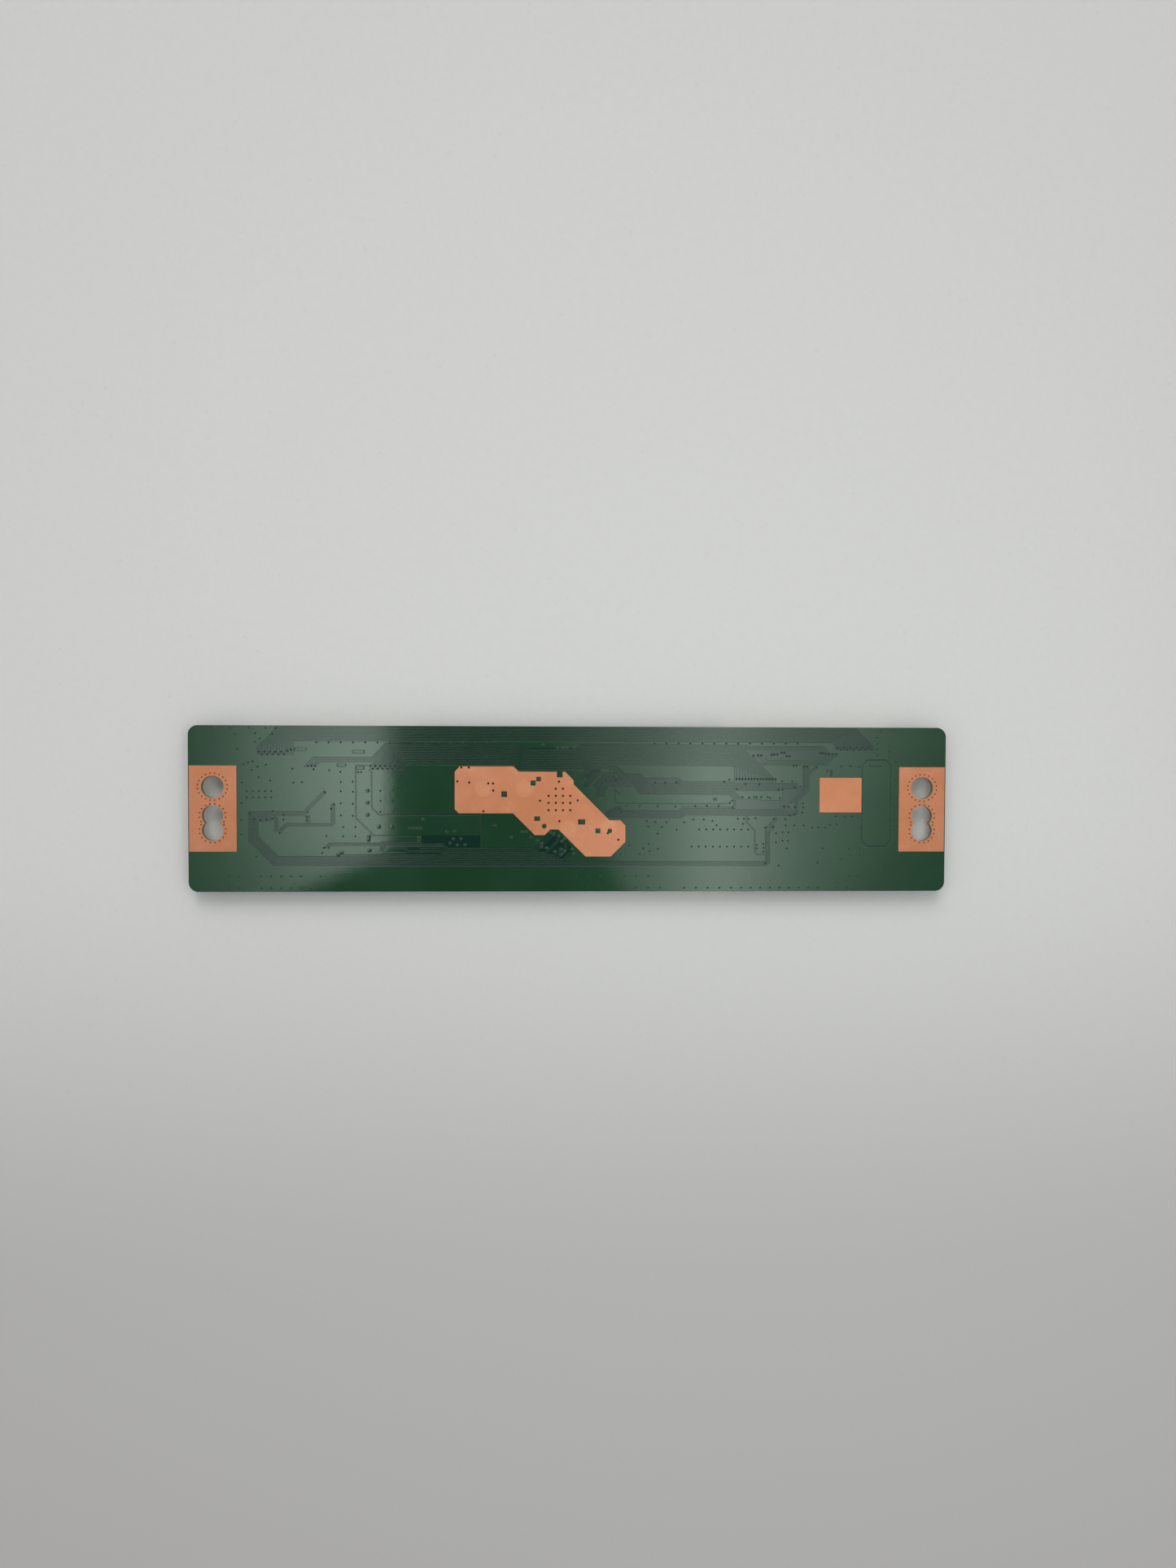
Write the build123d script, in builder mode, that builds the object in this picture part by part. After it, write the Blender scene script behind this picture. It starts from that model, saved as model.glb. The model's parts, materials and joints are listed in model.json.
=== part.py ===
"""Timing control board of a flat display, lying on its sockets with the solder side up.

Millimetres, +Z up, +X and +Y along the board as seen from above.
The origin is at the middle of the board, on the surface that the sockets stand on.
"""

from build123d import *
import math
import os

# Board
board_length = 160.0
board_width = 34.9
board_thickness = 1.6
corner_radius = 2.0
coat_thickness = 0.06
copper_thickness = 0.035
etch_depth = 0.03

# Screw holes: a round one and a figure-eight at each end
hole_inset = 5.0
round_hole_radius = 2.35
round_hole_y = 4.55
eight_hole_radius = 2.2
eight_hole_upper_y = -1.42
eight_hole_spacing = 3.14

# Bare lands
end_land_length = 10.0
end_land_margin = 0.15
end_land_top = 9.05
end_land_bottom = -9.0
front_land_setback = 0.3
square_land_left = 52.9
square_land_right = 61.95
square_land_top = 6.75
square_land_bottom = -0.65

# Tracks
track_width = 0.13
lone_track_width = 0.2
channel_margin = 0.85
channel_reach = 0.3
groove_width = 0.24

# Flat cable sockets on the component side
socket_height = 2.5
socket_depth = 4.5
socket_end_wall = 2.2
socket_edge_inset = 0.6
socket_end_inset = 12.0
contact_pitch = 0.5
contact_width = 0.2
contact_thickness = 0.15
contact_foot = 0.65
output_ways = 60
input_ways = 51
input_socket_depth = 5.2
input_socket_x = 18.0
input_end_wall = 2.6
shell_thickness = 0.2
mouth_low = 0.6
mouth_high = 1.5

housing_chamfer = 0.5
mouth_side_room = 1.1
tail_slot_depth = 0.5
mouth_start = 0.3
ear_depth = 1.4
ear_width = 0.9
pocket_reach = 2.6
pocket_count = 5
pocket_length = 4.2
pocket_width = 1.5
pocket_depth = 0.35
tab_foot = 0.9
tab_thickness = 0.2
tab_height = 1.5
tab_width = 2.0
tab_reach = 2.9
shell_depth = 4.4
shell_bend = 0.25
shell_foot = 0.8
shell_foot_width = 1.1
shell_window_count = 5
shell_window_length = 3.2
shell_window_width = 1.3

# Chips with leads
lead_thickness = 0.14
knee_share = 0.35
heel_share = 0.58
chip_standoff = 0.1
mould_taper = 8.0
dimple_inset = 1.6
dimple_radius = 0.6
dimple_depth = 0.08
controller_x, controller_y = -2.5, 1.35
controller_size = 14.0
controller_height = 1.4
controller_pitch = 1.0
controller_side_leads = 13
controller_lead_width = 0.34
controller_lead_reach = 1.05
controller_heat_pad_size = 6.2
reference_x, reference_y = 26.5, 3.0
reference_length, reference_width, reference_height = 5.0, 4.4, 0.95
reference_side_leads = 7
reference_pitch = 0.65
reference_lead_width = 0.25
reference_lead_reach = 1.0
memory_x, memory_y = 13.2, -4.6
memory_length, memory_width, memory_height = 4.9, 3.9, 1.4
memory_side_leads = 4
memory_pitch = 1.27
memory_lead_width = 0.42
memory_lead_reach = 1.05

# Leadless chips
leadless_height = 0.85
pad_length = 0.45
pad_width = 0.3
power_chip_x, power_chip_y = -44.3, 1.2
power_chip_size = 7.0
power_chip_side_pads = 5
power_chip_pitch = 1.1
power_chip_heat_pad = 4.6
level_shifter_x, level_shifter_y = 45.0, -5.9
level_shifter_size = 4.5
level_shifter_side_pads = 4
level_shifter_pitch = 0.8
level_shifter_heat_pad = 2.7

# Regulator
regulator_x, regulator_y = -65.4, 2.6
regulator_length, regulator_width, regulator_height = 6.1, 6.5, 2.2
regulator_slope = 0.35
regulator_standoff = 0.1
regulator_tab_width = 5.3
regulator_tab_length = 4.6
regulator_tab_notch = 0.7
regulator_tab_thickness = 0.5
regulator_lead_pitch = 4.57
regulator_lead_width = 0.8
regulator_lead_reach = 2.3

# Inductors
inductors = [(-55.5, 3.5), (-31.0, 3.5), (57.4, 3.1)]
inductor_size = 6.0
inductor_height = 2.1
inductor_standoff = 0.15
inductor_corner = 0.6
inductor_rim = 0.2
terminal_length = 1.4
terminal_width = 2.6
terminal_rise = 0.9

# Two-ended parts, and where they lie: x, y, turn
end_proud = 0.02
chip_end = 0.35
large_chip_end = 0.55
capacitor_size = (1.6, 0.8, 0.8)
resistor_size = (1.6, 0.8, 0.45)
large_capacitor_size = (3.2, 1.6, 1.3)
fuse_size = (3.2, 1.6, 0.9)
fuse_place = (66.0, 3.0, 90)
large_capacitors = [
    (-55.5, -2.2, 0), (-55.5, -4.6, 0), (-31.0, -2.2, 0), (-31.0, -4.6, 0),
    (57.4, -2.6, 0), (57.4, -5.0, 0)]
chip_row_room = 0.75
controller_row_count, controller_row_pitch = 4, 3.4
controller_column_count, controller_column_pitch = 3, 3.6
power_row_room = 1.9
power_row_count, power_row_pitch = 3, 2.8
input_row_room = 0.6
input_row_shift = -2.0
input_row_count, input_row_pitch = 6, 3.0
reference_row_room = 0.9
reference_row_count, reference_row_pitch = 4, 1.9
shifter_row_room = 1.35
shifter_row_count, shifter_row_pitch = 3, 2.2
array_length, array_width, array_height = 3.2, 1.3, 0.5
array_ways = 4
array_pitch = 0.8
array_end_width = 0.45
array_end_length = 0.2
resistor_arrays = [(25.5, -6.6, 0), (31.5, -6.6, 0)]

# Diodes and small transistors
diodes = [(-49.9, 8.0, 0), (-37.4, 3.2, 90), (51.3, 3.1, 90)]
diode_length, diode_width, diode_height = 4.2, 2.6, 2.0
diode_terminal = 0.2
diode_terminal_width = 1.5
diode_foot = 0.9
diode_bend = 1.2
transistors = [(-36.5, -4.2), (-61.5, -6.0), (51.5, -6.5)]
transistor_length, transistor_width, transistor_height = 2.9, 1.3, 1.0
transistor_pitch = 1.9
transistor_lead_width = 0.4
transistor_lead_reach = 0.55

# Test pads
test_pads_x = -45.0
test_pads_inset = 2.5
test_pad_count = 8
test_pad_pitch = 3.0
test_pad_size = 1.1

upper_edge = board_width / 2
lower_edge = -board_width / 2
right_end = board_length / 2
under_face = socket_height
laminate_bottom = under_face + coat_thickness
laminate_top = under_face + board_thickness - coat_thickness
back_face = under_face + board_thickness
channel_floor = back_face - etch_depth


# Artwork: every track lane runs along straight lines, level, upright or at 45 degrees,
# and turns where one line crosses the next


def level(y, step=0.0):
    """Line of constant y, whose lanes lie step apart."""
    return (0.0, 1.0, y, step)


def upright(x, step=0.0):
    """Line of constant x."""
    return (1.0, 0.0, x, step)


def rising(x, y, step=0.0):
    """Line through a point, climbing to the right at 45 degrees."""
    return (-1.0, 1.0, y - x, step)


def falling(x, y, step=0.0):
    """Line through a point, dropping to the right at 45 degrees."""
    return (1.0, 1.0, x + y, step)


def crossing(first, second, lane):
    """Point where one lane of two lines meets."""
    a1, b1, place1, step1 = first
    a2, b2, place2, step2 = second
    c1, c2 = place1 + lane * step1, place2 + lane * step2
    span = a1 * b2 - a2 * b1
    return ((c1 * b2 - c2 * b1) / span, (a1 * c2 - a2 * c1) / span)


def lane_points(lines, lane):
    """Corners of one lane, from its first end line to its last."""
    return [crossing(a, b, lane) for a, b in zip(lines, lines[1:])]


def unit(start, end):
    """Direction from one point to another, of length one."""
    length = math.dist(start, end)
    return ((end[0] - start[0]) / length, (end[1] - start[1]) / length)


def shifted(points, distance):
    """Open run of points moved sideways, to its left where the distance is positive."""
    headings = [unit(a, b) for a, b in zip(points, points[1:])]
    before = [headings[0]] + headings
    after = headings + [headings[-1]]
    moved = []
    for (x, y), (ux, uy), (vx, vy) in zip(points, before, after):
        scale = distance / (1.0 + ux * vx + uy * vy)
        moved.append((x - (uy + vy) * scale, y + (ux + vx) * scale))
    return moved


def lengthened(points, distance):
    """Open run of points with both ends drawn out straight."""
    (ux, uy), (vx, vy) = unit(points[1], points[0]), unit(points[-2], points[-1])
    head = (points[0][0] + ux * distance, points[0][1] + uy * distance)
    tail = (points[-1][0] + vx * distance, points[-1][1] + vy * distance)
    return [head] + points[1:-1] + [tail]


def strip(points, width):
    """Outline of a strip that follows a run of points."""
    return shifted(points, width / 2) + shifted(points, -width / 2)[::-1]


def bus_strips(bus):
    """Outlines of all the tracks of one bus."""
    count, width, lines = bus
    return [strip(lane_points(lines, lane), width) for lane in range(count)]


def bus_channel(bus):
    """Outline of the bare channel that a bus lies in, a lane's margin wider all round."""
    count, width, lines = bus
    if count == 1:
        return strip(lengthened(lane_points(lines, 0), channel_reach), width + 2 * groove_width)
    low = lengthened(lane_points(lines, -channel_margin), channel_reach)
    high = lengthened(lane_points(lines, count - 1 + channel_margin), channel_reach)
    return low + high[::-1]


# Artwork near either long edge keeps its distance from that edge
drawn_half_width = 17.45
top = upper_edge - drawn_half_width
low = lower_edge + drawn_half_width

# Twelve lanes along the upper edge, from the left output socket to the right one
upper_bus = (12, track_width, [
    level(top + 11.6), upright(-58.7, -0.6), rising(-58.35, top + 14.37, 0.507),
    level(top + 14.37, 0.242), falling(56.1, top + 14.15, 0.645), upright(56.75, 0.655),
    level(top + 13.0)])

# Seventeen lanes below it: fourteen end on vias at both sockets, the upper three run on
middle_bus = (14, track_width, [
    level(top + 8.6), upright(-35.5, -0.485), rising(-35.15, top + 9.45, 0.484),
    level(top + 9.45, 0.259), falling(-12.0, top + 9.45, 0.3525), level(top + 8.45, 0.259),
    rising(2.65, top + 8.45, 0.359), level(top + 9.4, 0.259), falling(34.35, top + 9.4, 0.435),
    upright(35.15, 0.61), level(top + 6.1)])
through_bus = (3, track_width, [
    level(top + 9.0), rising(-53.0, top + 10.0, 0.65), level(top + 10.0, 0.3),
    rising(-41.38, top + 10.0, 0.484), level(top + 13.076, 0.259),
    falling(-10.69, top + 13.076, 0.3525), level(top + 12.076, 0.259),
    rising(1.246, top + 12.076, 0.359), level(top + 13.026, 0.259),
    falling(36.8, top + 13.026, 0.38), level(top + 12.66, 0.27),
    falling(52.6, top + 12.66, 0.65), level(top + 12.0)])

# The bus along the lower edge: seven lanes rise at the left, others join on the way right,
# three run on to the right and the rest fan out under the middle land
long_lanes = (3, track_width, [
    level(-4.5), upright(42.1, -0.27), rising(42.1, -11.3, 0.38), level(low - 11.85, 0.27),
    falling(-62.25, low - 11.85, 0.39), upright(-67.4, 0.27), level(-0.8, -0.27), upright(-56.0)])
doubling_lanes = (2, track_width, [
    level(-9.2), rising(-0.4, -9.6, 0.45), level(low - 11.04, 0.27),
    falling(-61.84, low - 11.04, 0.39), upright(-66.59, 0.27), level(-1.61, -0.27),
    falling(-62.2, -1.61, -0.38), upright(-61.65, -0.27), level(-4.6)])
returning_pair = (2, track_width, [
    falling(-60.9, -4.85), rising(-61.5, -5.35, 0.38), level(-3.55, 0.27),
    rising(-50.35, -3.55, 0.38), upright(-49.85, -0.3), level(0.7)])
short_lanes = (2, track_width, [
    level(-7.0), upright(-0.98, -0.33), rising(-1.3, -9.1, 0.42), level(low - 10.5, 0.27),
    falling(-61.6, low - 10.5, 0.39), upright(-66.05, 0.27), level(-2.3, -0.27), upright(-63.2)])
first_joining = (1, track_width, [
    level(-8.7), rising(-2.5, -9.1), level(low - 9.96), upright(-47.6)])
second_joining = (1, track_width, [
    level(-8.7), rising(-2.5, -8.6), level(low - 9.69), upright(-39.4)])
joining_pair = (2, track_width, [
    level(-6.2), upright(-2.7, -0.35), rising(-4.6, -8.75, 0.45), level(low - 9.42, 0.27),
    falling(-27.1, low - 9.42, 0.38), level(low - 9.12, 0.32), upright(-34.6)])
last_joining = (1, track_width, [
    level(-5.6), rising(-7.18, -8.88), level(low - 8.88), falling(-26.88, low - 8.88),
    level(low - 8.36), upright(-32.0)])
upper_pair = (2, track_width, [
    level(-5.3), rising(-7.5, -8.56, 0.48), level(low - 8.56, 0.27),
    falling(-26.2, low - 8.56, 0.38), level(low - 7.65, 0.27), rising(-50.6, low - 7.65, 0.4),
    level(low - 8.2)])

# The bus from the middle land to the right output socket
lowest_lanes = (3, track_width, [
    level(2.8), upright(6.6, -0.55), rising(7.25, 4.85, 0.75), level(4.85, 0.29),
    falling(13.3, 4.85, 0.447), level(3.3, 0.29), falling(33.8, 3.3, 0.5), level(2.2)])
inner_lanes = (2, track_width, [
    level(6.5), falling(10.2, 5.72, 0.45), level(5.72, 0.29), falling(13.77, 5.72, 0.447),
    level(4.17, 0.29), upright(44.4)])
highest_lanes = (3, track_width, [
    falling(2.0, 6.4), rising(4.4, 8.62, 0.45), level(8.62, 0.24), falling(8.58, 8.62, 0.38),
    level(6.3, 0.29), falling(14.09, 6.3, 0.447), level(4.75, 0.29), upright(47.9)])
detour_track = (1, track_width, [
    level(9.15), falling(9.9, 8.5), level(7.17), falling(14.56, 7.17), level(6.33),
    falling(22.6, 6.33), level(5.62), upright(36.2)])
short_pair = (2, track_width, [
    falling(3.2, 4.6), rising(5.4, 7.25, 0.6), level(7.25, 0.26), upright(8.9)])

# The bus under it, the thick lanes above, the upright bus beside the square land, and forks
dip_bus = (5, track_width, [
    level(-0.85, 0.3), falling(8.55, -1.75, 0.85), level(-1.75, 0.3), rising(23.2, -1.75, 0.4),
    level(-1.12, 0.27), rising(46.9, -1.12, 0.9), falling(46.2, 0.3)])
wide_bus = (3, track_width, [
    level(top + 11.3), falling(40.1, top + 9.7, 1.1), level(top + 9.7, 0.35),
    rising(54.1, top + 9.7, 0.82), level(top + 11.7)])
upright_bus = (4, track_width, [
    level(8.9), upright(49.55, 0.3), rising(49.55, 4.5, -0.44), level(1.1, 0.25)])
upright_branch = (1, track_width, [level(8.9), rising(51.55, 8.4), level(7.5)])
side_track = (1, track_width, [level(1.4), upright(47.98), level(-0.7)])
climbing_track = (1, lone_track_width, [level(3.4), rising(-51.8, 3.4), level(-0.2)])
left_fork = (1, track_width, [level(-2.1), rising(43.3, -2.4), level(-4.1)])
right_fork = (1, track_width, [level(-3.7), rising(42.95, -3.75), level(-4.25)])

lower_group = [
    long_lanes, doubling_lanes, returning_pair, short_lanes, first_joining, second_joining,
    joining_pair, last_joining, upper_pair]
right_group = [
    lowest_lanes, inner_lanes, highest_lanes, detour_track, short_pair, dip_bus]
power_group = [
    wide_bus, upright_bus, upright_branch, side_track, climbing_track, left_fork, right_fork]
buses = [upper_bus, middle_bus, through_bus] + lower_group + right_group + power_group

# Thin bare lines that part one copper area from the next
grooves = [
    [(-42.5, 9.1), (-45.2, 9.1), (-45.2, -1.9), (-41.45, -5.65), (-31.5, -5.65)],
    [(-42.4, 8.2), (-41.9, 7.7), (-41.9, 0.3), (-40.35, -1.25), (-19.3, -1.25), (-19.3, -5.6)],
    [(-40.0, -6.95), (-31.5, -6.95)],
    [(9.2, 4.6), (9.2, 1.65), (9.7, 1.15), (33.7, 1.15)],
    [(23.4, 0.5), (34.2, 0.5), (34.65, 0.95), (34.65, 2.2)],
    [(15.4, 5.98), (22.4, 5.98)],
    [(37.3, -1.45), (37.3, -2.75), (39.1, -4.55), (39.1, -9.1), (39.65, -9.65), (41.5, -9.65)],
    [(-9.1, top + 12.9), (0.8, top + 12.9)],
    [(68.3, 0.0), (68.3, 9.4), (67.15, 10.55), (63.25, 10.55), (62.1, 9.4), (62.1, -6.7),
     (63.25, -7.85), (67.15, -7.85), (68.3, -6.7), (68.3, -0.3)]]

# Wider places with no copper
bare_patches = [
    [(-31.6, -5.53), (-19.05, -5.53), (-19.05, -8.2), (-25.9, -8.3), (-27.0, -7.3), (-31.6, -7.3)],
    [(-40.1, -7.8), (-38.7, -7.8), (-39.8, -8.95), (-40.1, -8.7)],
    [(-38.9, -9.15), (-38.2, -8.45), (-35.2, -8.45), (-34.7, -9.15)],
    [(-34.8, -8.05), (-32.3, -8.05), (-32.3, -8.6), (-34.4, -8.6)],
    [(-7.7, -8.9), (-4.5, -5.2), (-3.0, -5.2), (-1.3, -6.5), (-0.5, -7.3), (0.6, -8.6),
     (0.5, -9.6), (-0.3, -10.0), (-1.7, -11.05), (-3.0, -10.3)],
    [(36.8, top + 12.45), (53.6, top + 12.45), (54.2, top + 11.7), (53.3, top + 10.55),
     (41.6, top + 10.55), (40.9, top + 11.3), (38.2, top + 11.3), (37.9, top + 11.1)],
    [(34.9, 0.1), (44.4, 0.0), (45.5, 1.1), (46.3, 1.05), (49.1, 3.9), (48.6, 4.4),
     (45.0, 4.4), (45.0, 1.9), (40.6, 1.9), (39.9, 2.2), (34.9, 2.2)],
    [(3.0, 6.9), (4.6, 8.5), (6.3, 8.5), (6.3, 7.6), (5.2, 7.6), (3.3, 5.7)],
    [(4.3, 4.9), (6.2, 7.05), (8.9, 7.05), (9.6, 6.4), (10.3, 5.6), (6.1, 5.5), (4.8, 4.5)]]

# Bare middle land, and the square islands of coat left on it: x, y, width, height
middle_land = [
    (-23.5, 9.0), (-12.2, 9.0), (-11.1, 7.9), (-1.3, 7.9), (0.5, 6.05), (0.5, 5.25),
    (8.1, -2.35), (10.4, -2.35), (11.5, -3.45), (11.5, -6.95), (8.4, -10.05), (3.05, -10.05),
    (-2.7, -4.3), (-4.4, -4.3), (-5.6, -5.5), (-7.7, -5.5), (-12.3, -0.9), (-23.7, -0.9),
    (-24.55, -0.05), (-24.55, 7.85)]
coat_islands = [
    (-14.15, 3.15, 1.2, 1.2), (-8.05, 5.5, 1.05, 1.05), (-6.9, 6.35, 0.95, 0.95),
    (-2.45, 7.35, 1.2, 1.3), (-7.2, -2.0, 1.2, 0.95), (2.2, -2.7, 1.5, 1.1),
    (5.65, -4.6, 1.05, 1.0)]
round_islands = [(-5.7, -3.6), (8.2, -4.6)]
round_island_radius = 0.5


# Parts

os.makedirs("parts", exist_ok=True)


def screw_holes(margin):
    """Cut the round hole and the figure-eight of each end, widened by a margin."""
    for x in (hole_inset - right_end, right_end - hole_inset):
        with Locations((x, round_hole_y)):
            Circle(round_hole_radius + margin, mode=Mode.SUBTRACT)
        lower_y = eight_hole_upper_y - eight_hole_spacing
        with Locations((x, eight_hole_upper_y), (x, lower_y)):
            Circle(eight_hole_radius + margin, mode=Mode.SUBTRACT)


def rectangle_between(left, right, bottom, top_side, mode=Mode.ADD):
    """Rectangle by its four sides."""
    with Locations(((left + right) / 2, (bottom + top_side) / 2)):
        Rectangle(right - left, top_side - bottom, mode=mode)


def end_land_outline(side, mode=Mode.ADD):
    """Outline of the bare land at the left end, side -1, or the right end, side 1."""
    outer = side * (right_end - end_land_margin)
    inner = side * (right_end - end_land_length)
    rectangle_between(min(outer, inner), max(outer, inner), end_land_bottom, end_land_top, mode)


def square_land_outline(mode=Mode.ADD):
    """Outline of the bare square land."""
    rectangle_between(
        square_land_left, square_land_right, square_land_bottom, square_land_top, mode)


def island_outlines(mode):
    """Outlines of the islands of coat on the middle land."""
    for x, y, length, width in coat_islands:
        with Locations((x, y)):
            Rectangle(length, width, mode=mode)
    with Locations(*round_islands):
        Circle(round_island_radius, mode=mode)


def back_coat_outline():
    """Board outline with a window for each bare land, and the islands inside one."""
    RectangleRounded(board_length, board_width, corner_radius)
    end_land_outline(-1, Mode.SUBTRACT)
    end_land_outline(1, Mode.SUBTRACT)
    square_land_outline(Mode.SUBTRACT)
    Polygon(*middle_land, mode=Mode.SUBTRACT)
    island_outlines(Mode.ADD)


with BuildPart() as laminate:
    with BuildSketch(Plane.XY.offset(laminate_bottom)):
        RectangleRounded(board_length, board_width, corner_radius)
        screw_holes(0)
    extrude(amount=laminate_top - laminate_bottom)

with BuildPart() as back_coat:
    with BuildSketch(Plane.XY.offset(laminate_top)):
        back_coat_outline()
    extrude(amount=channel_floor - laminate_top)
    with BuildSketch(Plane.XY.offset(channel_floor)):
        back_coat_outline()
        for bus in buses:
            Polygon(*bus_channel(bus), mode=Mode.SUBTRACT)
        for patch in bare_patches:
            Polygon(*patch, mode=Mode.SUBTRACT)
        for groove in grooves:
            Polygon(*strip(groove, groove_width), mode=Mode.SUBTRACT)
    extrude(amount=etch_depth)


def track_group(group):
    """Copper tracks of several buses, standing in their channels, level with the coat."""
    with BuildPart() as tracks:
        with BuildSketch(Plane.XY.offset(channel_floor)):
            for bus in group:
                for outline in bus_strips(bus):
                    Polygon(*outline)
        extrude(amount=etch_depth)
    return tracks


upper_tracks = track_group([upper_bus])
middle_tracks = track_group([middle_bus, through_bus])
lower_tracks = track_group(lower_group)
right_tracks = track_group(right_group)
power_tracks = track_group(power_group)


def end_land(side):
    """Bare copper round the holes of one end."""
    with BuildPart() as land:
        with BuildSketch(Plane.XY.offset(laminate_top)):
            end_land_outline(side)
            screw_holes(0)
        extrude(amount=copper_thickness)
    return land


left_land = end_land(-1)
right_land = end_land(1)

with BuildPart() as middle_land_copper:
    with BuildSketch(Plane.XY.offset(laminate_top)):
        Polygon(*middle_land)
        island_outlines(Mode.SUBTRACT)
    extrude(amount=copper_thickness)

with BuildPart() as square_land:
    with BuildSketch(Plane.XY.offset(laminate_top)):
        square_land_outline()
    extrude(amount=copper_thickness)


# Component side: everything hangs below the front coat

def test_pad_outlines(mode):
    """Row of small square pads near the lower edge."""
    with Locations((test_pads_x, lower_edge + test_pads_inset)):
        with GridLocations(test_pad_pitch, 1, test_pad_count, 1):
            Rectangle(test_pad_size, test_pad_size, mode=mode)


with BuildPart() as front_coat:
    with BuildSketch(Plane.XY.offset(under_face)):
        RectangleRounded(board_length, board_width, corner_radius)
        end_land_outline(-1, Mode.SUBTRACT)
        end_land_outline(1, Mode.SUBTRACT)
        test_pad_outlines(Mode.SUBTRACT)
    extrude(amount=coat_thickness)

with BuildPart() as front_lands:
    with BuildSketch(Plane.XY.offset(laminate_bottom)):
        end_land_outline(-1)
        end_land_outline(1)
        screw_holes(front_land_setback)
    extrude(amount=-copper_thickness)

with BuildPart() as test_pads:
    with BuildSketch(Plane.XY.offset(laminate_bottom)):
        test_pad_outlines(Mode.ADD)
    extrude(amount=-copper_thickness)


def hanging(x, y, turn):
    """Upright plane under the board, its first axis outward at an angle, its second down."""
    angle = math.radians(turn)
    across, along = math.cos(angle), math.sin(angle)
    return Plane(origin=(x, y, under_face), x_dir=(across, along, 0), z_dir=(-along, across, 0))


def hanging_row(x, y, turn, count, pitch):
    """Upright planes side by side in a row about a point, all facing one way."""
    angle = math.radians(turn)
    offsets = [(index - (count - 1) / 2) * pitch for index in range(count)]
    return [
        hanging(x - math.sin(angle) * offset, y + math.cos(angle) * offset, turn)
        for offset in offsets]


def below(depth):
    """Level plane at a depth below the component side."""
    return Plane.XY.offset(under_face - depth)


def box_profile(start, end, shallow, deep):
    """Corners of a rectangle on a hanging plane, from one reach and depth to another."""
    return [(start, shallow), (end, shallow), (end, deep), (start, deep)]


# Output sockets: moulded housings with their mouths to the upper edge
output_span = (output_ways - 1) * contact_pitch
output_mouth = output_span + mouth_side_room
output_length = output_mouth + 2 * socket_end_wall
output_rear_y = upper_edge - socket_edge_inset - socket_depth
housing_profile = [
    (0, 0), (socket_depth, 0), (socket_depth, socket_height),
    (housing_chamfer, socket_height), (0, socket_height - housing_chamfer)]
tail_room = 2 * contact_thickness
cavity_profile = [
    (0, 0), (tail_slot_depth, 0), (tail_slot_depth, mouth_low), (socket_depth, mouth_low),
    (socket_depth, mouth_high), (mouth_start, mouth_high), (mouth_start, tail_room),
    (0, tail_room)]
contact_profile = box_profile(-contact_foot, tail_slot_depth, 0, contact_thickness)
tab_profile = [
    (0, 0), (tab_foot, 0), (tab_foot, tab_thickness), (tab_thickness, tab_thickness),
    (tab_thickness, tab_height), (0, tab_height)]


def output_housing(centre_x):
    """Moulded housing of an output socket, with ears cut in its mouth and relief pockets."""
    with BuildPart() as housing:
        with BuildSketch(hanging(centre_x, output_rear_y, 90)):
            Polygon(*housing_profile)
        extrude(amount=output_length / 2, both=True)
        with BuildSketch(hanging(centre_x, output_rear_y, 90)):
            Polygon(*cavity_profile)
        extrude(amount=output_mouth / 2, both=True, mode=Mode.SUBTRACT)
        with BuildSketch(hanging(centre_x, output_rear_y, 90)):
            Polygon(*box_profile(socket_depth - ear_depth, socket_depth, mouth_low, mouth_high))
        extrude(amount=output_mouth / 2 + ear_width, both=True, mode=Mode.SUBTRACT)
        with BuildSketch(Plane.XY):
            with Locations((centre_x, output_rear_y + pocket_reach)):
                with GridLocations(output_length / pocket_count, 1, pocket_count, 1):
                    Rectangle(pocket_length, pocket_width)
        extrude(amount=pocket_depth, mode=Mode.SUBTRACT)
    return housing


def output_contacts(centre_x):
    """Row of contacts whose feet stick out behind the housing."""
    with BuildPart() as contacts:
        with BuildSketch(*hanging_row(centre_x, output_rear_y, 90, output_ways, contact_pitch)):
            Polygon(*contact_profile)
        extrude(amount=contact_width / 2, both=True)
    return contacts


def output_tabs(centre_x):
    """Bent solder tabs against both ends of the housing."""
    tab_y = output_rear_y + tab_reach
    with BuildPart() as tabs:
        with BuildSketch(hanging(centre_x + output_length / 2, tab_y, 0),
                         hanging(centre_x - output_length / 2, tab_y, 180)):
            Polygon(*tab_profile)
        extrude(amount=tab_width / 2, both=True)
    return tabs


left_socket_x = -right_end + socket_end_inset + output_length / 2
right_socket_x = right_end - socket_end_inset - output_length / 2
left_socket_housing = output_housing(left_socket_x)
right_socket_housing = output_housing(right_socket_x)
left_socket_contacts = output_contacts(left_socket_x)
right_socket_contacts = output_contacts(right_socket_x)
left_socket_tabs = output_tabs(left_socket_x)
right_socket_tabs = output_tabs(right_socket_x)


# Input socket: a moulded housing inside a folded metal shell, its mouth to the lower edge
input_span = (input_ways - 1) * contact_pitch
input_mouth = input_span + mouth_side_room
input_length = input_mouth + 2 * input_end_wall
input_front_y = lower_edge + socket_edge_inset
input_rear_y = input_front_y + input_socket_depth
shell_inside = socket_height - shell_thickness
input_cavity = [
    (0, 0), (tail_slot_depth, 0), (tail_slot_depth, mouth_low), (input_socket_depth, mouth_low),
    (input_socket_depth, mouth_high), (mouth_start, mouth_high), (mouth_start, tail_room),
    (0, tail_room)]

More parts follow.
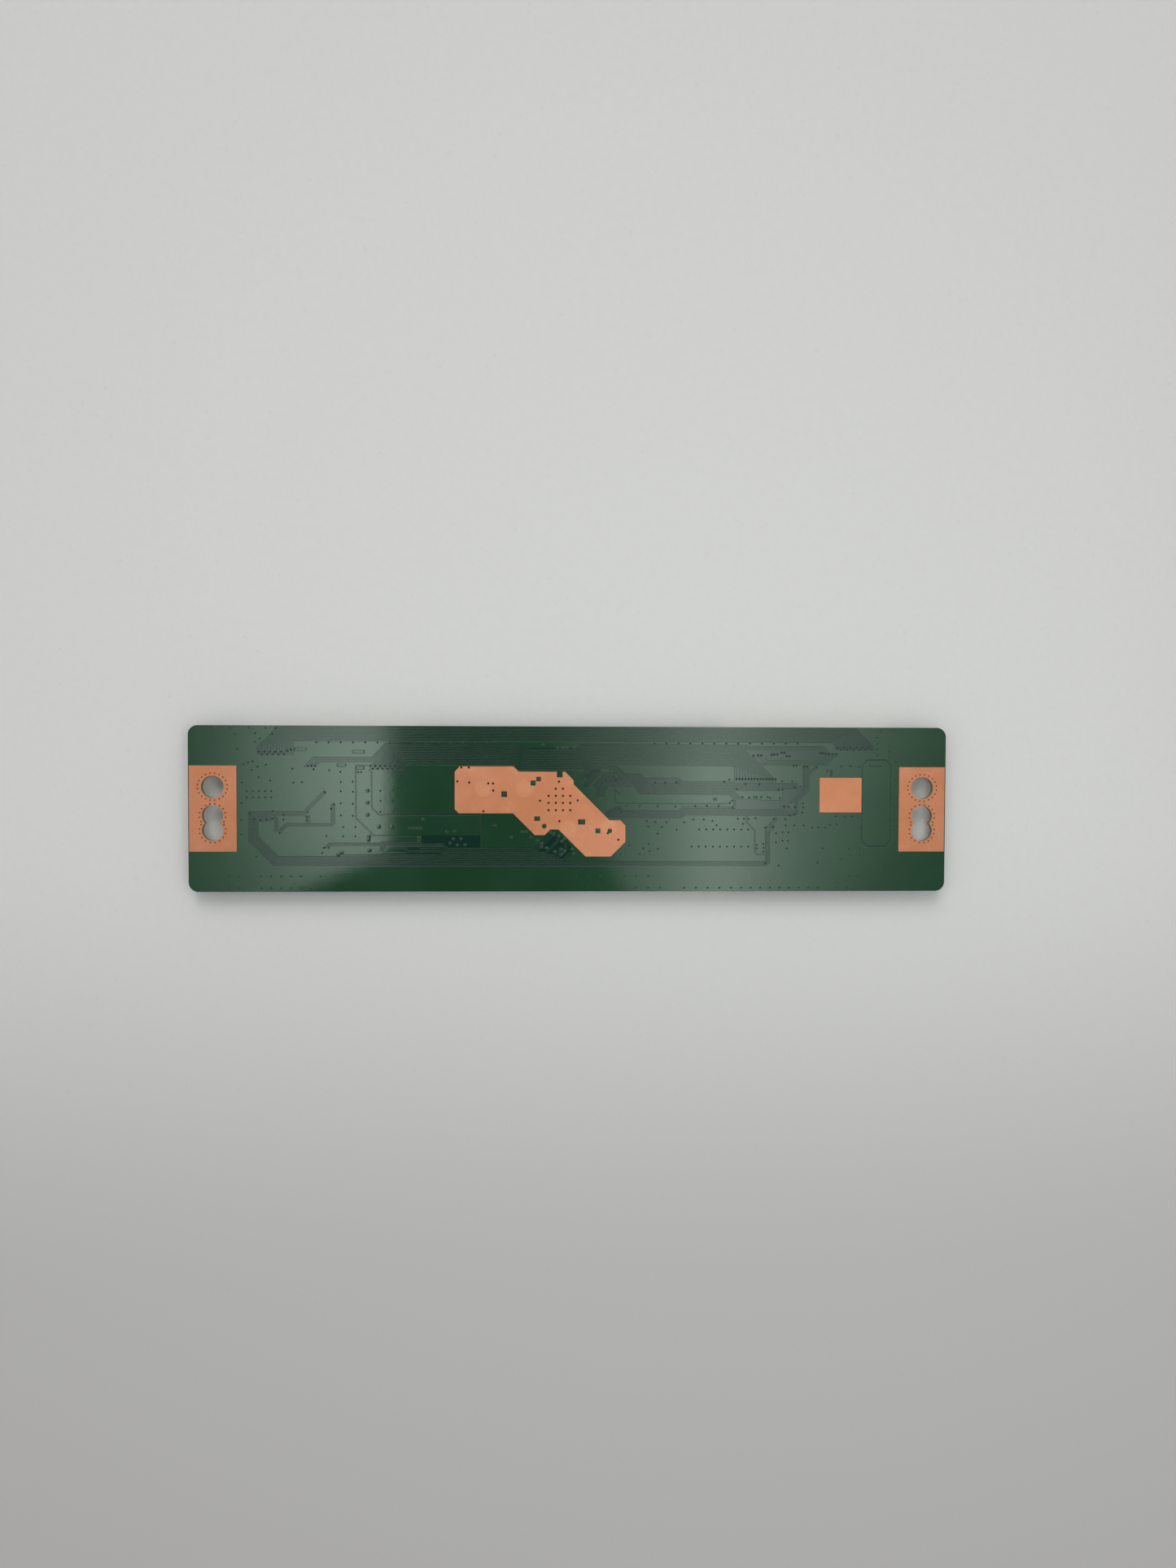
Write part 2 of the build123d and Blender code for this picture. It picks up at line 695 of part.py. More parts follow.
with BuildPart() as input_housing:
    with BuildSketch(hanging(input_socket_x, input_rear_y, 270)):
        Polygon(*box_profile(0, input_socket_depth, 0, shell_inside))
    extrude(amount=input_length / 2, both=True)
    with BuildSketch(hanging(input_socket_x, input_rear_y, 270)):
        Polygon(*input_cavity)
    extrude(amount=input_mouth / 2, both=True, mode=Mode.SUBTRACT)
    with BuildSketch(hanging(input_socket_x, input_rear_y, 270)):
        Polygon(*box_profile(
            input_socket_depth - ear_depth, input_socket_depth, mouth_low, mouth_high))
    extrude(amount=input_mouth / 2 + ear_width, both=True, mode=Mode.SUBTRACT)

with BuildPart() as input_contacts:
    with BuildSketch(
            *hanging_row(input_socket_x, input_rear_y, 270, input_ways, contact_pitch)):
        Polygon(*contact_profile)
    extrude(amount=contact_width / 2, both=True)

shell_half = input_length / 2
shell_outer = shell_half + shell_thickness
shell_foot_end = shell_outer + shell_foot
shell_profile = [
    (-shell_foot_end, 0), (-shell_half, 0), (-shell_half, shell_inside),
    (shell_half, shell_inside), (shell_half, 0), (shell_foot_end, 0),
    (shell_foot_end, shell_thickness), (shell_outer, shell_thickness),
    (shell_outer, socket_height), (-shell_outer, socket_height),
    (-shell_outer, shell_thickness), (-shell_foot_end, shell_thickness)]

with BuildPart() as input_shell:
    with BuildSketch(hanging(input_socket_x, input_front_y, 0)) as folded:
        Polygon(*shell_profile)
        fillet(folded.vertices().group_by(Axis.Y)[-1], shell_bend)
    extrude(amount=shell_depth)
    with BuildSketch(Plane.XY):
        with Locations((input_socket_x, input_front_y + shell_depth / 2)):
            with GridLocations(input_length / shell_window_count, 1, shell_window_count, 1):
                Rectangle(shell_window_length, shell_window_width)
    extrude(amount=shell_thickness, mode=Mode.SUBTRACT)
    with BuildSketch(below(shell_thickness)):
        with Locations((input_socket_x, input_front_y + shell_depth / 2)):
            Rectangle(2 * shell_foot_end, shell_depth - 2 * shell_foot_width)
            Rectangle(2 * shell_outer, shell_depth, mode=Mode.SUBTRACT)
    extrude(amount=shell_thickness, mode=Mode.SUBTRACT)


# Chips
def gull_wing(body_edge, foot_end, middle):
    """Side view of a lead that leaves a body half way up and bends down to a flat foot."""
    half = lead_thickness / 2
    knee = body_edge + knee_share * (foot_end - body_edge)
    heel = body_edge + heel_share * (foot_end - body_edge)
    return [
        (body_edge, middle + half), (knee, middle + half), (heel, lead_thickness),
        (foot_end, lead_thickness), (foot_end, 0), (heel - lead_thickness / 2, 0),
        (knee - lead_thickness / 2, middle - half), (body_edge, middle - half)]


def moulded_body(x, y, length, width, height):
    """Moulded body that tapers up and down from its parting line."""
    with BuildPart() as body:
        with BuildSketch(below(chip_standoff + height / 2)):
            with Locations((x, y)):
                Rectangle(length, width)
        extrude(amount=height / 2, both=True, taper=mould_taper)
    return body


def leads_on_sides(x, y, sides, lead_width):
    """Rows of bent leads; each side gives its turn, count, pitch, body edge, foot and middle."""
    with BuildPart() as leads:
        for turn, count, pitch, body_edge, foot_end, middle in sides:
            with BuildSketch(*hanging_row(x, y, turn, count, pitch)):
                Polygon(*gull_wing(body_edge, foot_end, middle))
            extrude(amount=lead_width / 2, both=True)
    return leads


def pads_under(x, y, half, count, pitch, heat_pad):
    """Flat pads along the four sides under a leadless chip, and the heat pad between them."""
    with BuildPart() as pads:
        with BuildSketch(*[
                plane for turn in (0, 90, 180, 270)
                for plane in hanging_row(x, y, turn, count, pitch)]):
            Polygon(*box_profile(half - pad_length, half, 0, chip_standoff))
        extrude(amount=pad_width / 2, both=True)
        with BuildSketch(below(0)):
            with Locations((x, y)):
                Rectangle(heat_pad, heat_pad)
        extrude(amount=-chip_standoff)
    return pads


controller_middle = chip_standoff + controller_height / 2
with BuildPart() as controller_body:
    with BuildSketch(below(controller_middle)):
        with Locations((controller_x, controller_y)):
            Rectangle(controller_size, controller_size)
    extrude(amount=controller_height / 2, both=True, taper=mould_taper)
    with BuildSketch(below(chip_standoff + controller_height)):
        dimple_reach = controller_size / 2 - dimple_inset
        with Locations((controller_x - dimple_reach, controller_y + dimple_reach)):
            Circle(dimple_radius)
    extrude(amount=dimple_depth, mode=Mode.SUBTRACT)
controller_leads = leads_on_sides(
    controller_x, controller_y,
    [(turn, controller_side_leads, controller_pitch, controller_size / 2,
      controller_size / 2 + controller_lead_reach, controller_middle)
     for turn in (0, 90, 180, 270)], controller_lead_width)
with BuildPart() as controller_heat_pad:
    with BuildSketch(below(0)):
        with Locations((controller_x, controller_y)):
            Rectangle(controller_heat_pad_size, controller_heat_pad_size)
    extrude(amount=-chip_standoff)

power_chip_body = moulded_body(
    power_chip_x, power_chip_y, power_chip_size, power_chip_size, leadless_height)
power_chip_pads = pads_under(
    power_chip_x, power_chip_y, power_chip_size / 2, power_chip_side_pads,
    power_chip_pitch, power_chip_heat_pad)
level_shifter_body = moulded_body(
    level_shifter_x, level_shifter_y, level_shifter_size, level_shifter_size, leadless_height)
level_shifter_pads = pads_under(
    level_shifter_x, level_shifter_y, level_shifter_size / 2, level_shifter_side_pads,
    level_shifter_pitch, level_shifter_heat_pad)

reference_buffer_body = moulded_body(
    reference_x, reference_y, reference_length, reference_width, reference_height)
reference_buffer_leads = leads_on_sides(
    reference_x, reference_y,
    [(turn, reference_side_leads, reference_pitch, reference_width / 2,
      reference_width / 2 + reference_lead_reach, chip_standoff + reference_height / 2)
     for turn in (90, 270)], reference_lead_width)
memory_body = moulded_body(memory_x, memory_y, memory_length, memory_width, memory_height)
memory_leads = leads_on_sides(
    memory_x, memory_y,
    [(turn, memory_side_leads, memory_pitch, memory_width / 2,
      memory_width / 2 + memory_lead_reach, chip_standoff + memory_height / 2)
     for turn in (90, 270)], memory_lead_width)


# Regulator: a heat tab flat on the board, a moulded body over it and two bent leads
regulator_middle = regulator_tab_thickness + lead_thickness
with BuildPart() as regulator_tab:
    with BuildSketch(below(0)):
        with Locations((regulator_x, regulator_y + regulator_tab_length / 2)):
            Rectangle(regulator_tab_width, regulator_tab_length)
        corners = [
            (regulator_x + side * regulator_tab_width / 2, regulator_y + regulator_tab_length)
            for side in (-1, 1)]
        with Locations(*corners):
            Rectangle(
                2 * regulator_tab_notch, 2 * regulator_tab_notch, rotation=45,
                mode=Mode.SUBTRACT)
    extrude(amount=-regulator_tab_thickness)

with BuildPart() as regulator_body:
    with BuildSketch(hanging(regulator_x, regulator_y, 90)):
        Polygon(
            (-regulator_length / 2, regulator_standoff), (0, regulator_standoff),
            (0, regulator_tab_thickness),
            (regulator_length / 2, regulator_tab_thickness),
            (regulator_length / 2 - regulator_slope, regulator_height),
            (regulator_slope - regulator_length / 2, regulator_height))
    extrude(amount=regulator_width / 2, both=True)

regulator_leads = leads_on_sides(
    regulator_x, regulator_y,
    [(270, 2, regulator_lead_pitch, regulator_length / 2,
      regulator_length / 2 + regulator_lead_reach, regulator_middle)], regulator_lead_width)


# Power inductors: pressed blocks, each with two flat terminals folded under it
def inductor_terminal_profile():
    """Side view of a terminal: under the block, then up its end."""
    half = inductor_size / 2
    return [
        (half - terminal_length, 0), (half + inductor_standoff, 0),
        (half + inductor_standoff, terminal_rise), (half, terminal_rise),
        (half, inductor_standoff), (half - terminal_length, inductor_standoff)]


with BuildPart() as inductor_blocks:
    with BuildSketch(below(inductor_standoff)):
        with Locations(*inductors):
            Rectangle(inductor_size, inductor_size)
    extrude(amount=-inductor_height)
    chamfer(inductor_blocks.edges().filter_by(Axis.Z), inductor_corner)
    chamfer(inductor_blocks.faces().group_by(Axis.Z)[0].edges(), inductor_rim)

with BuildPart() as inductor_terminals:
    with BuildSketch(*[hanging(x, y, turn) for x, y in inductors for turn in (0, 180)]):
        Polygon(*inductor_terminal_profile())
    extrude(amount=terminal_width / 2, both=True)


# Two-ended parts: each place is x, y and turn
def along_plane(x, y, turn):
    """Level plane at the component side, turned so that its first axis lies along a part."""
    angle = math.radians(turn)
    return Plane(
        origin=(x, y, under_face), x_dir=(math.cos(angle), math.sin(angle), 0),
        z_dir=(0, 0, 1))


def chip_bodies(places, length, width, height, end_length):
    """Plain bodies between the metal ends of small chip parts."""
    with BuildPart() as bodies:
        with BuildSketch(*[along_plane(*place) for place in places]):
            Rectangle(length - 2 * end_length, width)
        extrude(amount=-height)
    return bodies


def chip_ends(places, length, width, height, end_length):
    """Metal ends of small chip parts, a little proud of the bodies."""
    with BuildPart() as ends:
        with BuildSketch(*[along_plane(*place) for place in places]):
            with GridLocations(length - end_length, 1, 2, 1):
                Rectangle(end_length, width + 2 * end_proud)
        extrude(amount=-height - end_proud)
    return ends


def row_places(x, y, count, pitch_x, pitch_y, turn):
    """Places in a straight row about a point."""
    return [
        (x + (index - (count - 1) / 2) * pitch_x, y + (index - (count - 1) / 2) * pitch_y, turn)
        for index in range(count)]


half_capacitor, half_resistor = capacitor_size[0] / 2, resistor_size[0] / 2
controller_reach = (
    controller_size / 2 + controller_lead_reach + chip_row_room + half_capacitor)
power_reach = power_chip_size / 2 + power_row_room + half_capacitor
input_row_y = input_rear_y + contact_foot + input_row_room + half_resistor
reference_reach = (
    reference_width / 2 + reference_lead_reach + reference_row_room + half_resistor)
shifter_reach = level_shifter_size / 2 + shifter_row_room + half_resistor

small_capacitors = row_places(
    power_chip_x, power_chip_y - power_reach, power_row_count, power_row_pitch, 0, 90)
for side in (-1, 1):
    small_capacitors += row_places(
        controller_x, controller_y + side * controller_reach,
        controller_row_count, controller_row_pitch, 0, 90)
    small_capacitors += row_places(
        controller_x + side * controller_reach, controller_y,
        controller_column_count, 0, controller_column_pitch, 0)
resistors = (
    row_places(
        input_socket_x + input_row_shift, input_row_y, input_row_count, input_row_pitch, 0, 90)
    + row_places(
        reference_x, reference_y + reference_reach,
        reference_row_count, reference_row_pitch, 0, 90)
    + row_places(
        level_shifter_x, level_shifter_y + shifter_reach,
        shifter_row_count, shifter_row_pitch, 0, 90))

capacitor_bodies = chip_bodies(small_capacitors, *capacitor_size, chip_end)
capacitor_ends = chip_ends(small_capacitors, *capacitor_size, chip_end)
resistor_bodies = chip_bodies(resistors, *resistor_size, chip_end)
resistor_ends = chip_ends(resistors, *resistor_size, chip_end)
large_capacitor_bodies = chip_bodies(large_capacitors, *large_capacitor_size, large_chip_end)
large_capacitor_ends = chip_ends(large_capacitors, *large_capacitor_size, large_chip_end)
fuse_body = chip_bodies([fuse_place], *fuse_size, large_chip_end)
fuse_ends = chip_ends([fuse_place], *fuse_size, large_chip_end)

with BuildPart() as array_bodies:
    with BuildSketch(*[along_plane(*place) for place in resistor_arrays]):
        Rectangle(array_length, array_width)
    extrude(amount=-array_height)

with BuildPart() as array_ends:
    with BuildSketch(*[along_plane(*place) for place in resistor_arrays]):
        for side in (-1, 1):
            with Locations((0, side * (array_width + array_end_length) / 2)):
                with GridLocations(array_pitch, 1, array_ways, 1):
                    Rectangle(array_end_width, array_end_length)
    extrude(amount=-array_height)

# Diodes: blocks raised on two bent terminals
diode_profile = [
    (diode_length / 2 - diode_foot, 0), (diode_length / 2 + diode_terminal, 0),
    (diode_length / 2 + diode_terminal, diode_bend), (diode_length / 2, diode_bend),
    (diode_length / 2, diode_terminal), (diode_length / 2 - diode_foot, diode_terminal)]

with BuildPart() as diode_bodies:
    with BuildSketch(*[along_plane(*place).offset(-diode_terminal) for place in diodes]):
        Rectangle(diode_length, diode_width)
    extrude(amount=-diode_height)

with BuildPart() as diode_terminals:
    with BuildSketch(*[
            hanging(x, y, turn + side) for x, y, turn in diodes for side in (0, 180)]):
        Polygon(*diode_profile)
    extrude(amount=diode_terminal_width / 2, both=True)

# Small transistors: three bent leads each, one on one side and two on the other
transistor_middle = chip_standoff + transistor_height / 2
with BuildPart() as transistor_bodies:
    for x, y in transistors:
        with BuildSketch(below(chip_standoff + transistor_height / 2)):
            with Locations((x, y)):
                Rectangle(transistor_length, transistor_width)
        extrude(amount=transistor_height / 2, both=True, taper=mould_taper)

with BuildPart() as transistor_leads:
    for x, y in transistors:
        for turn, count in ((90, 1), (270, 2)):
            with BuildSketch(*hanging_row(x, y, turn, count, transistor_pitch)):
                Polygon(*gull_wing(
                    transistor_width / 2, transistor_width / 2 + transistor_lead_reach,
                    transistor_middle))
            extrude(amount=transistor_lead_width / 2, both=True)


pieces = {
    "laminate": laminate,
    "back_coat": back_coat,
    "upper_tracks": upper_tracks,
    "middle_tracks": middle_tracks,
    "lower_tracks": lower_tracks,
    "right_tracks": right_tracks,
    "power_tracks": power_tracks,
    "left_land": left_land,
    "right_land": right_land,
    "middle_land": middle_land_copper,
    "square_land": square_land,
    "front_coat": front_coat,
    "front_lands": front_lands,
    "test_pads": test_pads,
    "left_socket_housing": left_socket_housing,
    "left_socket_contacts": left_socket_contacts,
    "left_socket_tabs": left_socket_tabs,
    "right_socket_housing": right_socket_housing,
    "right_socket_contacts": right_socket_contacts,
    "right_socket_tabs": right_socket_tabs,
    "input_socket_housing": input_housing,
    "input_socket_shell": input_shell,
    "input_socket_contacts": input_contacts,
    "controller_body": controller_body,
    "controller_leads": controller_leads,
    "controller_heat_pad": controller_heat_pad,
    "power_chip_body": power_chip_body,
    "power_chip_pads": power_chip_pads,
    "level_shifter_body": level_shifter_body,
    "level_shifter_pads": level_shifter_pads,
    "reference_buffer_body": reference_buffer_body,
    "reference_buffer_leads": reference_buffer_leads,
    "memory_body": memory_body,
    "memory_leads": memory_leads,
    "regulator_body": regulator_body,
    "regulator_tab": regulator_tab,
    "regulator_leads": regulator_leads,
    "inductor_blocks": inductor_blocks,
    "inductor_terminals": inductor_terminals,
    "diode_bodies": diode_bodies,
    "diode_terminals": diode_terminals,
    "transistor_bodies": transistor_bodies,
    "transistor_leads": transistor_leads,
    "large_capacitor_bodies": large_capacitor_bodies,
    "large_capacitor_ends": large_capacitor_ends,
    "small_capacitor_bodies": capacitor_bodies,
    "small_capacitor_ends": capacitor_ends,
    "resistor_bodies": resistor_bodies,
    "resistor_ends": resistor_ends,
    "resistor_array_bodies": array_bodies,
    "resistor_array_ends": array_ends,
    "fuse_body": fuse_body,
    "fuse_ends": fuse_ends,
}

for name, piece in pieces.items():
    piece.part.label = name
    export_step(piece.part, f"parts/{name}.step")
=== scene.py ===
"""Looks of the timing control board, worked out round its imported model, in metres and +Z up.

The board lies on its sockets with the solder side up: green solder mask over etched copper,
bare copper lands with their plated holes and, underneath, the soldered parts.
"""

import json
import logging
import math
from collections.abc import Mapping, Sequence
from dataclasses import dataclass
from enum import Enum
from functools import cache

import bmesh
import bpy
import numpy as np
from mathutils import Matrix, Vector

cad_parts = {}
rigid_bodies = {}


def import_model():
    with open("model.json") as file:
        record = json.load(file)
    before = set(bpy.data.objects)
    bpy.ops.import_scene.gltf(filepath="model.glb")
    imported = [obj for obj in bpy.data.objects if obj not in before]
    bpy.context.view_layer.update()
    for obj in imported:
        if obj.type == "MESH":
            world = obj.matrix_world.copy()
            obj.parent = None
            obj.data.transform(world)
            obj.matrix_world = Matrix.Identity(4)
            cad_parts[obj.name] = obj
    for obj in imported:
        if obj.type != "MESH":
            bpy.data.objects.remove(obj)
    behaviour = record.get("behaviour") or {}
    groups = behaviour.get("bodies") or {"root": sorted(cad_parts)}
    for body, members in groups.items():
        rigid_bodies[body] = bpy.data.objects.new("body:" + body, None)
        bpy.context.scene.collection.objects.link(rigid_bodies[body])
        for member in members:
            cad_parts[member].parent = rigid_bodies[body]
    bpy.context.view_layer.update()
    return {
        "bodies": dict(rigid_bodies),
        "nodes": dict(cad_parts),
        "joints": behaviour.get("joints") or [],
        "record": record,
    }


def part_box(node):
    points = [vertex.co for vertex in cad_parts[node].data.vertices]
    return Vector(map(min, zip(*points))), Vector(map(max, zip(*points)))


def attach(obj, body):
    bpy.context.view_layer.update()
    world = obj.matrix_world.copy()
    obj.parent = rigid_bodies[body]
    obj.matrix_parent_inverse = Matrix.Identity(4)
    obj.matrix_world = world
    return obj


MM = 0.001
"""One millimetre, in the metres that everything is built in."""

BAND_SCALE = 0.3
"""Scale of a Wave texture whose bands lie about a metre apart."""

Array = np.ndarray
Triple = tuple[float, float, float]
Colour = Triple
Point = tuple[float, float]
Socket = bpy.types.NodeSocket
Value = float | Colour | Socket

log = logging.getLogger("control_board")


class Side(Enum):
    """Face of the board that a detail lies on; the value is the way its height points."""

    BACK = 1.0
    FRONT = -1.0


class Edge(Enum):
    """Long edge of the board that a socket opens to; the value is the way it lies along Y."""

    UPPER = 1.0
    LOWER = -1.0


class Graph:
    """Node tree filled by short calls, each of which gives back the socket that it makes."""

    def __init__(self, tree: bpy.types.NodeTree) -> None:
        """Work in the given tree."""
        self.tree = tree

    def feed(self, socket: Socket, value: Value) -> None:
        """Join a socket to another one, or set its own value.

        Args:
            socket: input to fill.
            value: output socket, number, colour or vector.
        """
        if isinstance(value, bpy.types.NodeSocket):
            self.tree.links.new(value, socket)
        elif socket.type == "RGBA":
            socket.default_value = (*value, 1.0)
        else:
            socket.default_value = value

    def add(self, kind: str, inputs: Mapping[str | int, Value] | None = None,
            **settings: object) -> bpy.types.Node:
        """Add a shader node.

        Args:
            kind: the node's type without the word ShaderNode in front.
            inputs: what goes into its inputs, by name or number.
            settings: its properties.

        Returns:
            The new node.
        """
        node = self.tree.nodes.new("ShaderNode" + kind)
        for name, setting in settings.items():
            setattr(node, name, setting)
        for name, value in (inputs or {}).items():
            self.feed(node.inputs[name], value)
        return node

    def math(self, operation: str, *values: Value) -> Socket:
        """Result of a Math node on one, two or three values."""
        return self.add("Math", dict(enumerate(values)), operation=operation).outputs[0]

    def times(self, *values: Value) -> Socket:
        """Product of several values."""
        product = values[0]
        for value in values[1:]:
            product = self.math("MULTIPLY", product, value)
        return product

    def total(self, start: Value, *shares: tuple[Socket, float]) -> Value:
        """A starting value plus each of the others times its share."""
        for value, share in shares:
            start = self.math("MULTIPLY_ADD", value, share, start)
        return start

    def rest(self, value: Value) -> Socket:
        """One minus a value."""
        return self.math("SUBTRACT", 1.0, value)

    def either(self, first: Value, second: Value) -> Socket:
        """Larger of two values."""
        return self.math("MAXIMUM", first, second)

    def mix(self, share: Value, first: Value, second: Value) -> Socket:
        """Colour between two colours; share 1 gives the second."""
        node = self.add("Mix", {0: share, 6: first, 7: second}, data_type="RGBA")
        return node.outputs[2]

    def span(self, value: Value, low: float, high: float, to_low: float = 0.0,
             to_high: float = 1.0) -> Socket:
        """Smooth step of a value between two bounds, onto a new range."""
        return self.add(
            "MapRange", {0: value, 1: low, 2: high, 3: to_low, 4: to_high},
            interpolation_type="SMOOTHSTEP").outputs[0]

    def place(self) -> Socket:
        """Place on the board, in metres."""
        return self.add("TexCoord").outputs["Object"]

    def axis(self, index: int) -> Socket:
        """Place on the board along one axis, in metres."""
        return self.add("SeparateXYZ", {0: self.place()}).outputs[index]

    def stretched(self, scale: Triple, turn: float = 0.0) -> Socket:
        """Place on the board, scaled along each axis after a turn about Z in degrees."""
        return self.add("Mapping", {
            "Vector": self.place(), "Scale": scale,
            "Rotation": (0.0, 0.0, math.radians(turn))}).outputs[0]

    def noise(self, scale: Value, detail: float = 2.0, roughness: float = 0.5,
              place: Socket | None = None) -> Socket:
        """Noise from 0 to 1, with scale features in a metre."""
        return self.add("TexNoise", {
            "Vector": place or self.place(), "Scale": scale, "Detail": detail,
            "Roughness": roughness}).outputs[0]

    def bands(self, pitch: float, distortion: float, detail_scale: float,
              place: Socket | None = None, direction: str = "X") -> Socket:
        """Wavy bands from 0 to 1, about a pitch apart in millimetres."""
        return self.add("TexWave", {
            "Vector": place or self.place(), "Scale": BAND_SCALE / (pitch * MM),
            "Distortion": distortion, "Detail": 1.0, "Detail Scale": detail_scale},
            bands_direction=direction).outputs[0]

    def attribute(self, name: str) -> Socket:
        """Number stored on the mesh under a name, 0 where there is none."""
        return self.add("Attribute", attribute_name=name).outputs["Fac"]

    def bevel(self, radius: float) -> Socket:
        """Normal over edges softened by a radius in millimetres."""
        return self.add("Bevel", {"Radius": radius * MM}, samples=6).outputs[0]

    def bump(self, height: Value, strength: Value, normal: Socket | None = None,
             depth: float = 0.02) -> Socket:
        """Bumped normal that follows a height, down to a depth in millimetres."""
        inputs = {"Strength": strength, "Distance": depth * MM, "Height": height}
        if normal:
            inputs["Normal"] = normal
        return self.add("Bump", inputs).outputs[0]

    def effect(self, tree: bpy.types.NodeTree,
               inputs: Mapping[str, Value]) -> Mapping[str, Socket]:
        """Place a shared effect with its own values.

        Args:
            tree: the effect's node group.
            inputs: what goes into its inputs, by name.

        Returns:
            Its outputs by name.
        """
        node = self.add("Group")
        node.node_tree = tree
        for key, value in inputs.items():
            self.feed(node.inputs[key], value)
        return node.outputs

    def cover(self, shader: bpy.types.Node, colour: Value, rough: Value,
              normal: Value) -> None:
        """Feed a shader's colour, roughness and normal."""
        values = {"Base Color": colour, "Roughness": rough, "Normal": normal}
        for name, value in values.items():
            self.feed(shader.inputs[name], value)

    def box_mask(self, low: Point, high: Point, edge: float) -> Socket:
        """Soft mask of a rectangle on the board, in millimetres."""
        sides = []
        for index in range(2):
            place = self.axis(index)
            start, end = low[index], high[index]
            sides.append(self.span(place, (start - edge) * MM, (start + edge) * MM))
            sides.append(self.span(place, (end - edge) * MM, (end + edge) * MM, 1.0, 0.0))
        return self.times(*sides)

    def disc_mask(self, centre: Point, radius: float, edge: float) -> Socket:
        """Soft mask of a disc on the board, in millimetres."""
        flat = self.add("VectorMath", {
            0: self.place(), 1: (1.0, 1.0, 0.0)}, operation="MULTIPLY").outputs[0]
        away = self.add("VectorMath", {
            0: flat, 1: (centre[0] * MM, centre[1] * MM, 0.0)}, operation="DISTANCE").outputs[1]
        return self.span(away, (radius - edge) * MM, (radius + edge) * MM, 1.0, 0.0)


def new_group(name: str, inputs: Mapping[str, float],
              outputs: Mapping[str, str]) -> tuple[Graph, Mapping[str, Socket], bpy.types.Node]:
    """Start a shader node group.

    Args:
        name: the group's name.
        inputs: its number inputs with their first values.
        outputs: its outputs, each with Float, Color or Vector.

    Returns:
        The graph inside, the group's inputs by name, and the node that takes its outputs.
    """
    tree = bpy.data.node_groups.new(name, "ShaderNodeTree")
    for key, value in inputs.items():
        made = tree.interface.new_socket(key, in_out="INPUT", socket_type="NodeSocketFloat")
        made.default_value = value
    for key, kind in outputs.items():
        tree.interface.new_socket(key, in_out="OUTPUT", socket_type="NodeSocket" + kind)
    entry = tree.nodes.new("NodeGroupInput")
    leave = tree.nodes.new("NodeGroupOutput")
    return Graph(tree), entry.outputs, leave


@cache
def grain_group() -> bpy.types.NodeTree:
    """Fine surface grain: a value about one half, and the same as a bump."""
    graph, given, out = new_group(
        "grain", {"Scale": 900.0, "Depth": 0.1}, {"Value": "Float", "Normal": "Vector"})
    grain = graph.noise(given["Scale"], 3.0, 0.6)
    graph.feed(out.inputs["Value"], grain)
    graph.feed(out.inputs["Normal"], graph.bump(grain, given["Depth"]))
    return graph.tree


@cache
def scratch_group() -> bpy.types.NodeTree:
    """Thin straight scratches in two directions, as a mask."""
    graph, given, out = new_group("scratches", {"Amount": 0.5}, {"Mask": "Float"})
    threads = []
    for turn, along in ((28.0, 60.0), (-51.0, 45.0)):
        streak = graph.noise(1.0, 1.0, 0.4, graph.stretched((along, 5200.0, 1.0), turn))
        patch = graph.noise(420.0, 1.0, 0.5)
        threads.append(graph.times(
            graph.span(streak, 0.70, 0.76), graph.span(patch, 0.52, 0.62)))
    graph.feed(out.inputs["Mask"], graph.times(graph.either(*threads), given["Amount"]))
    return graph.tree


@cache
def patches_group() -> bpy.types.NodeTree:
    """Broad uneven patches and small specks, as two masks."""
    graph, given, out = new_group(
        "patches", {"Scale": 90.0, "Speck": 2600.0}, {"Broad": "Float", "Specks": "Float"})
    broad = graph.noise(given["Scale"], 4.0, 0.55)
    specks = graph.noise(given["Speck"], 1.0, 0.4)
    graph.feed(out.inputs["Broad"], graph.span(broad, 0.35, 0.65))
    graph.feed(out.inputs["Specks"], graph.span(specks, 0.70, 0.78))
    return graph.tree


def patches(graph: Graph, scale: float, speck: float) -> Mapping[str, Socket]:
    """Masks of broad patches and of specks, each with its own number of features in a metre."""
    return graph.effect(patches_group(), {"Scale": scale, "Speck": speck})


def grained(graph: Graph, scale: float, depth: float) -> Mapping[str, Socket]:
    """Value and normal of a fine grain of the given scale and strength."""
    return graph.effect(grain_group(), {"Scale": scale, "Depth": depth})


@dataclass(frozen=True)
class Finish:
    """Surface finish; each kind paints its own nodes round one Principled shader."""

    name: str

    def material(self) -> bpy.types.Material:
        """Make the material of this finish.

        Returns:
            The new material.
        """
        made = bpy.data.materials.new(self.name)
        made.use_nodes = True
        made.node_tree.nodes.clear()
        graph = Graph(made.node_tree)
        shader = graph.add("BsdfPrincipled")
        leave = graph.add("OutputMaterial", {"Surface": shader.outputs[0]})
        leave.is_active_output = True
        self.paint(graph, shader)
        return made

    def paint(self, graph: Graph, shader: bpy.types.Node) -> None:
        """Fill the shader's sockets; each kind of finish has its own."""
        raise NotImplementedError


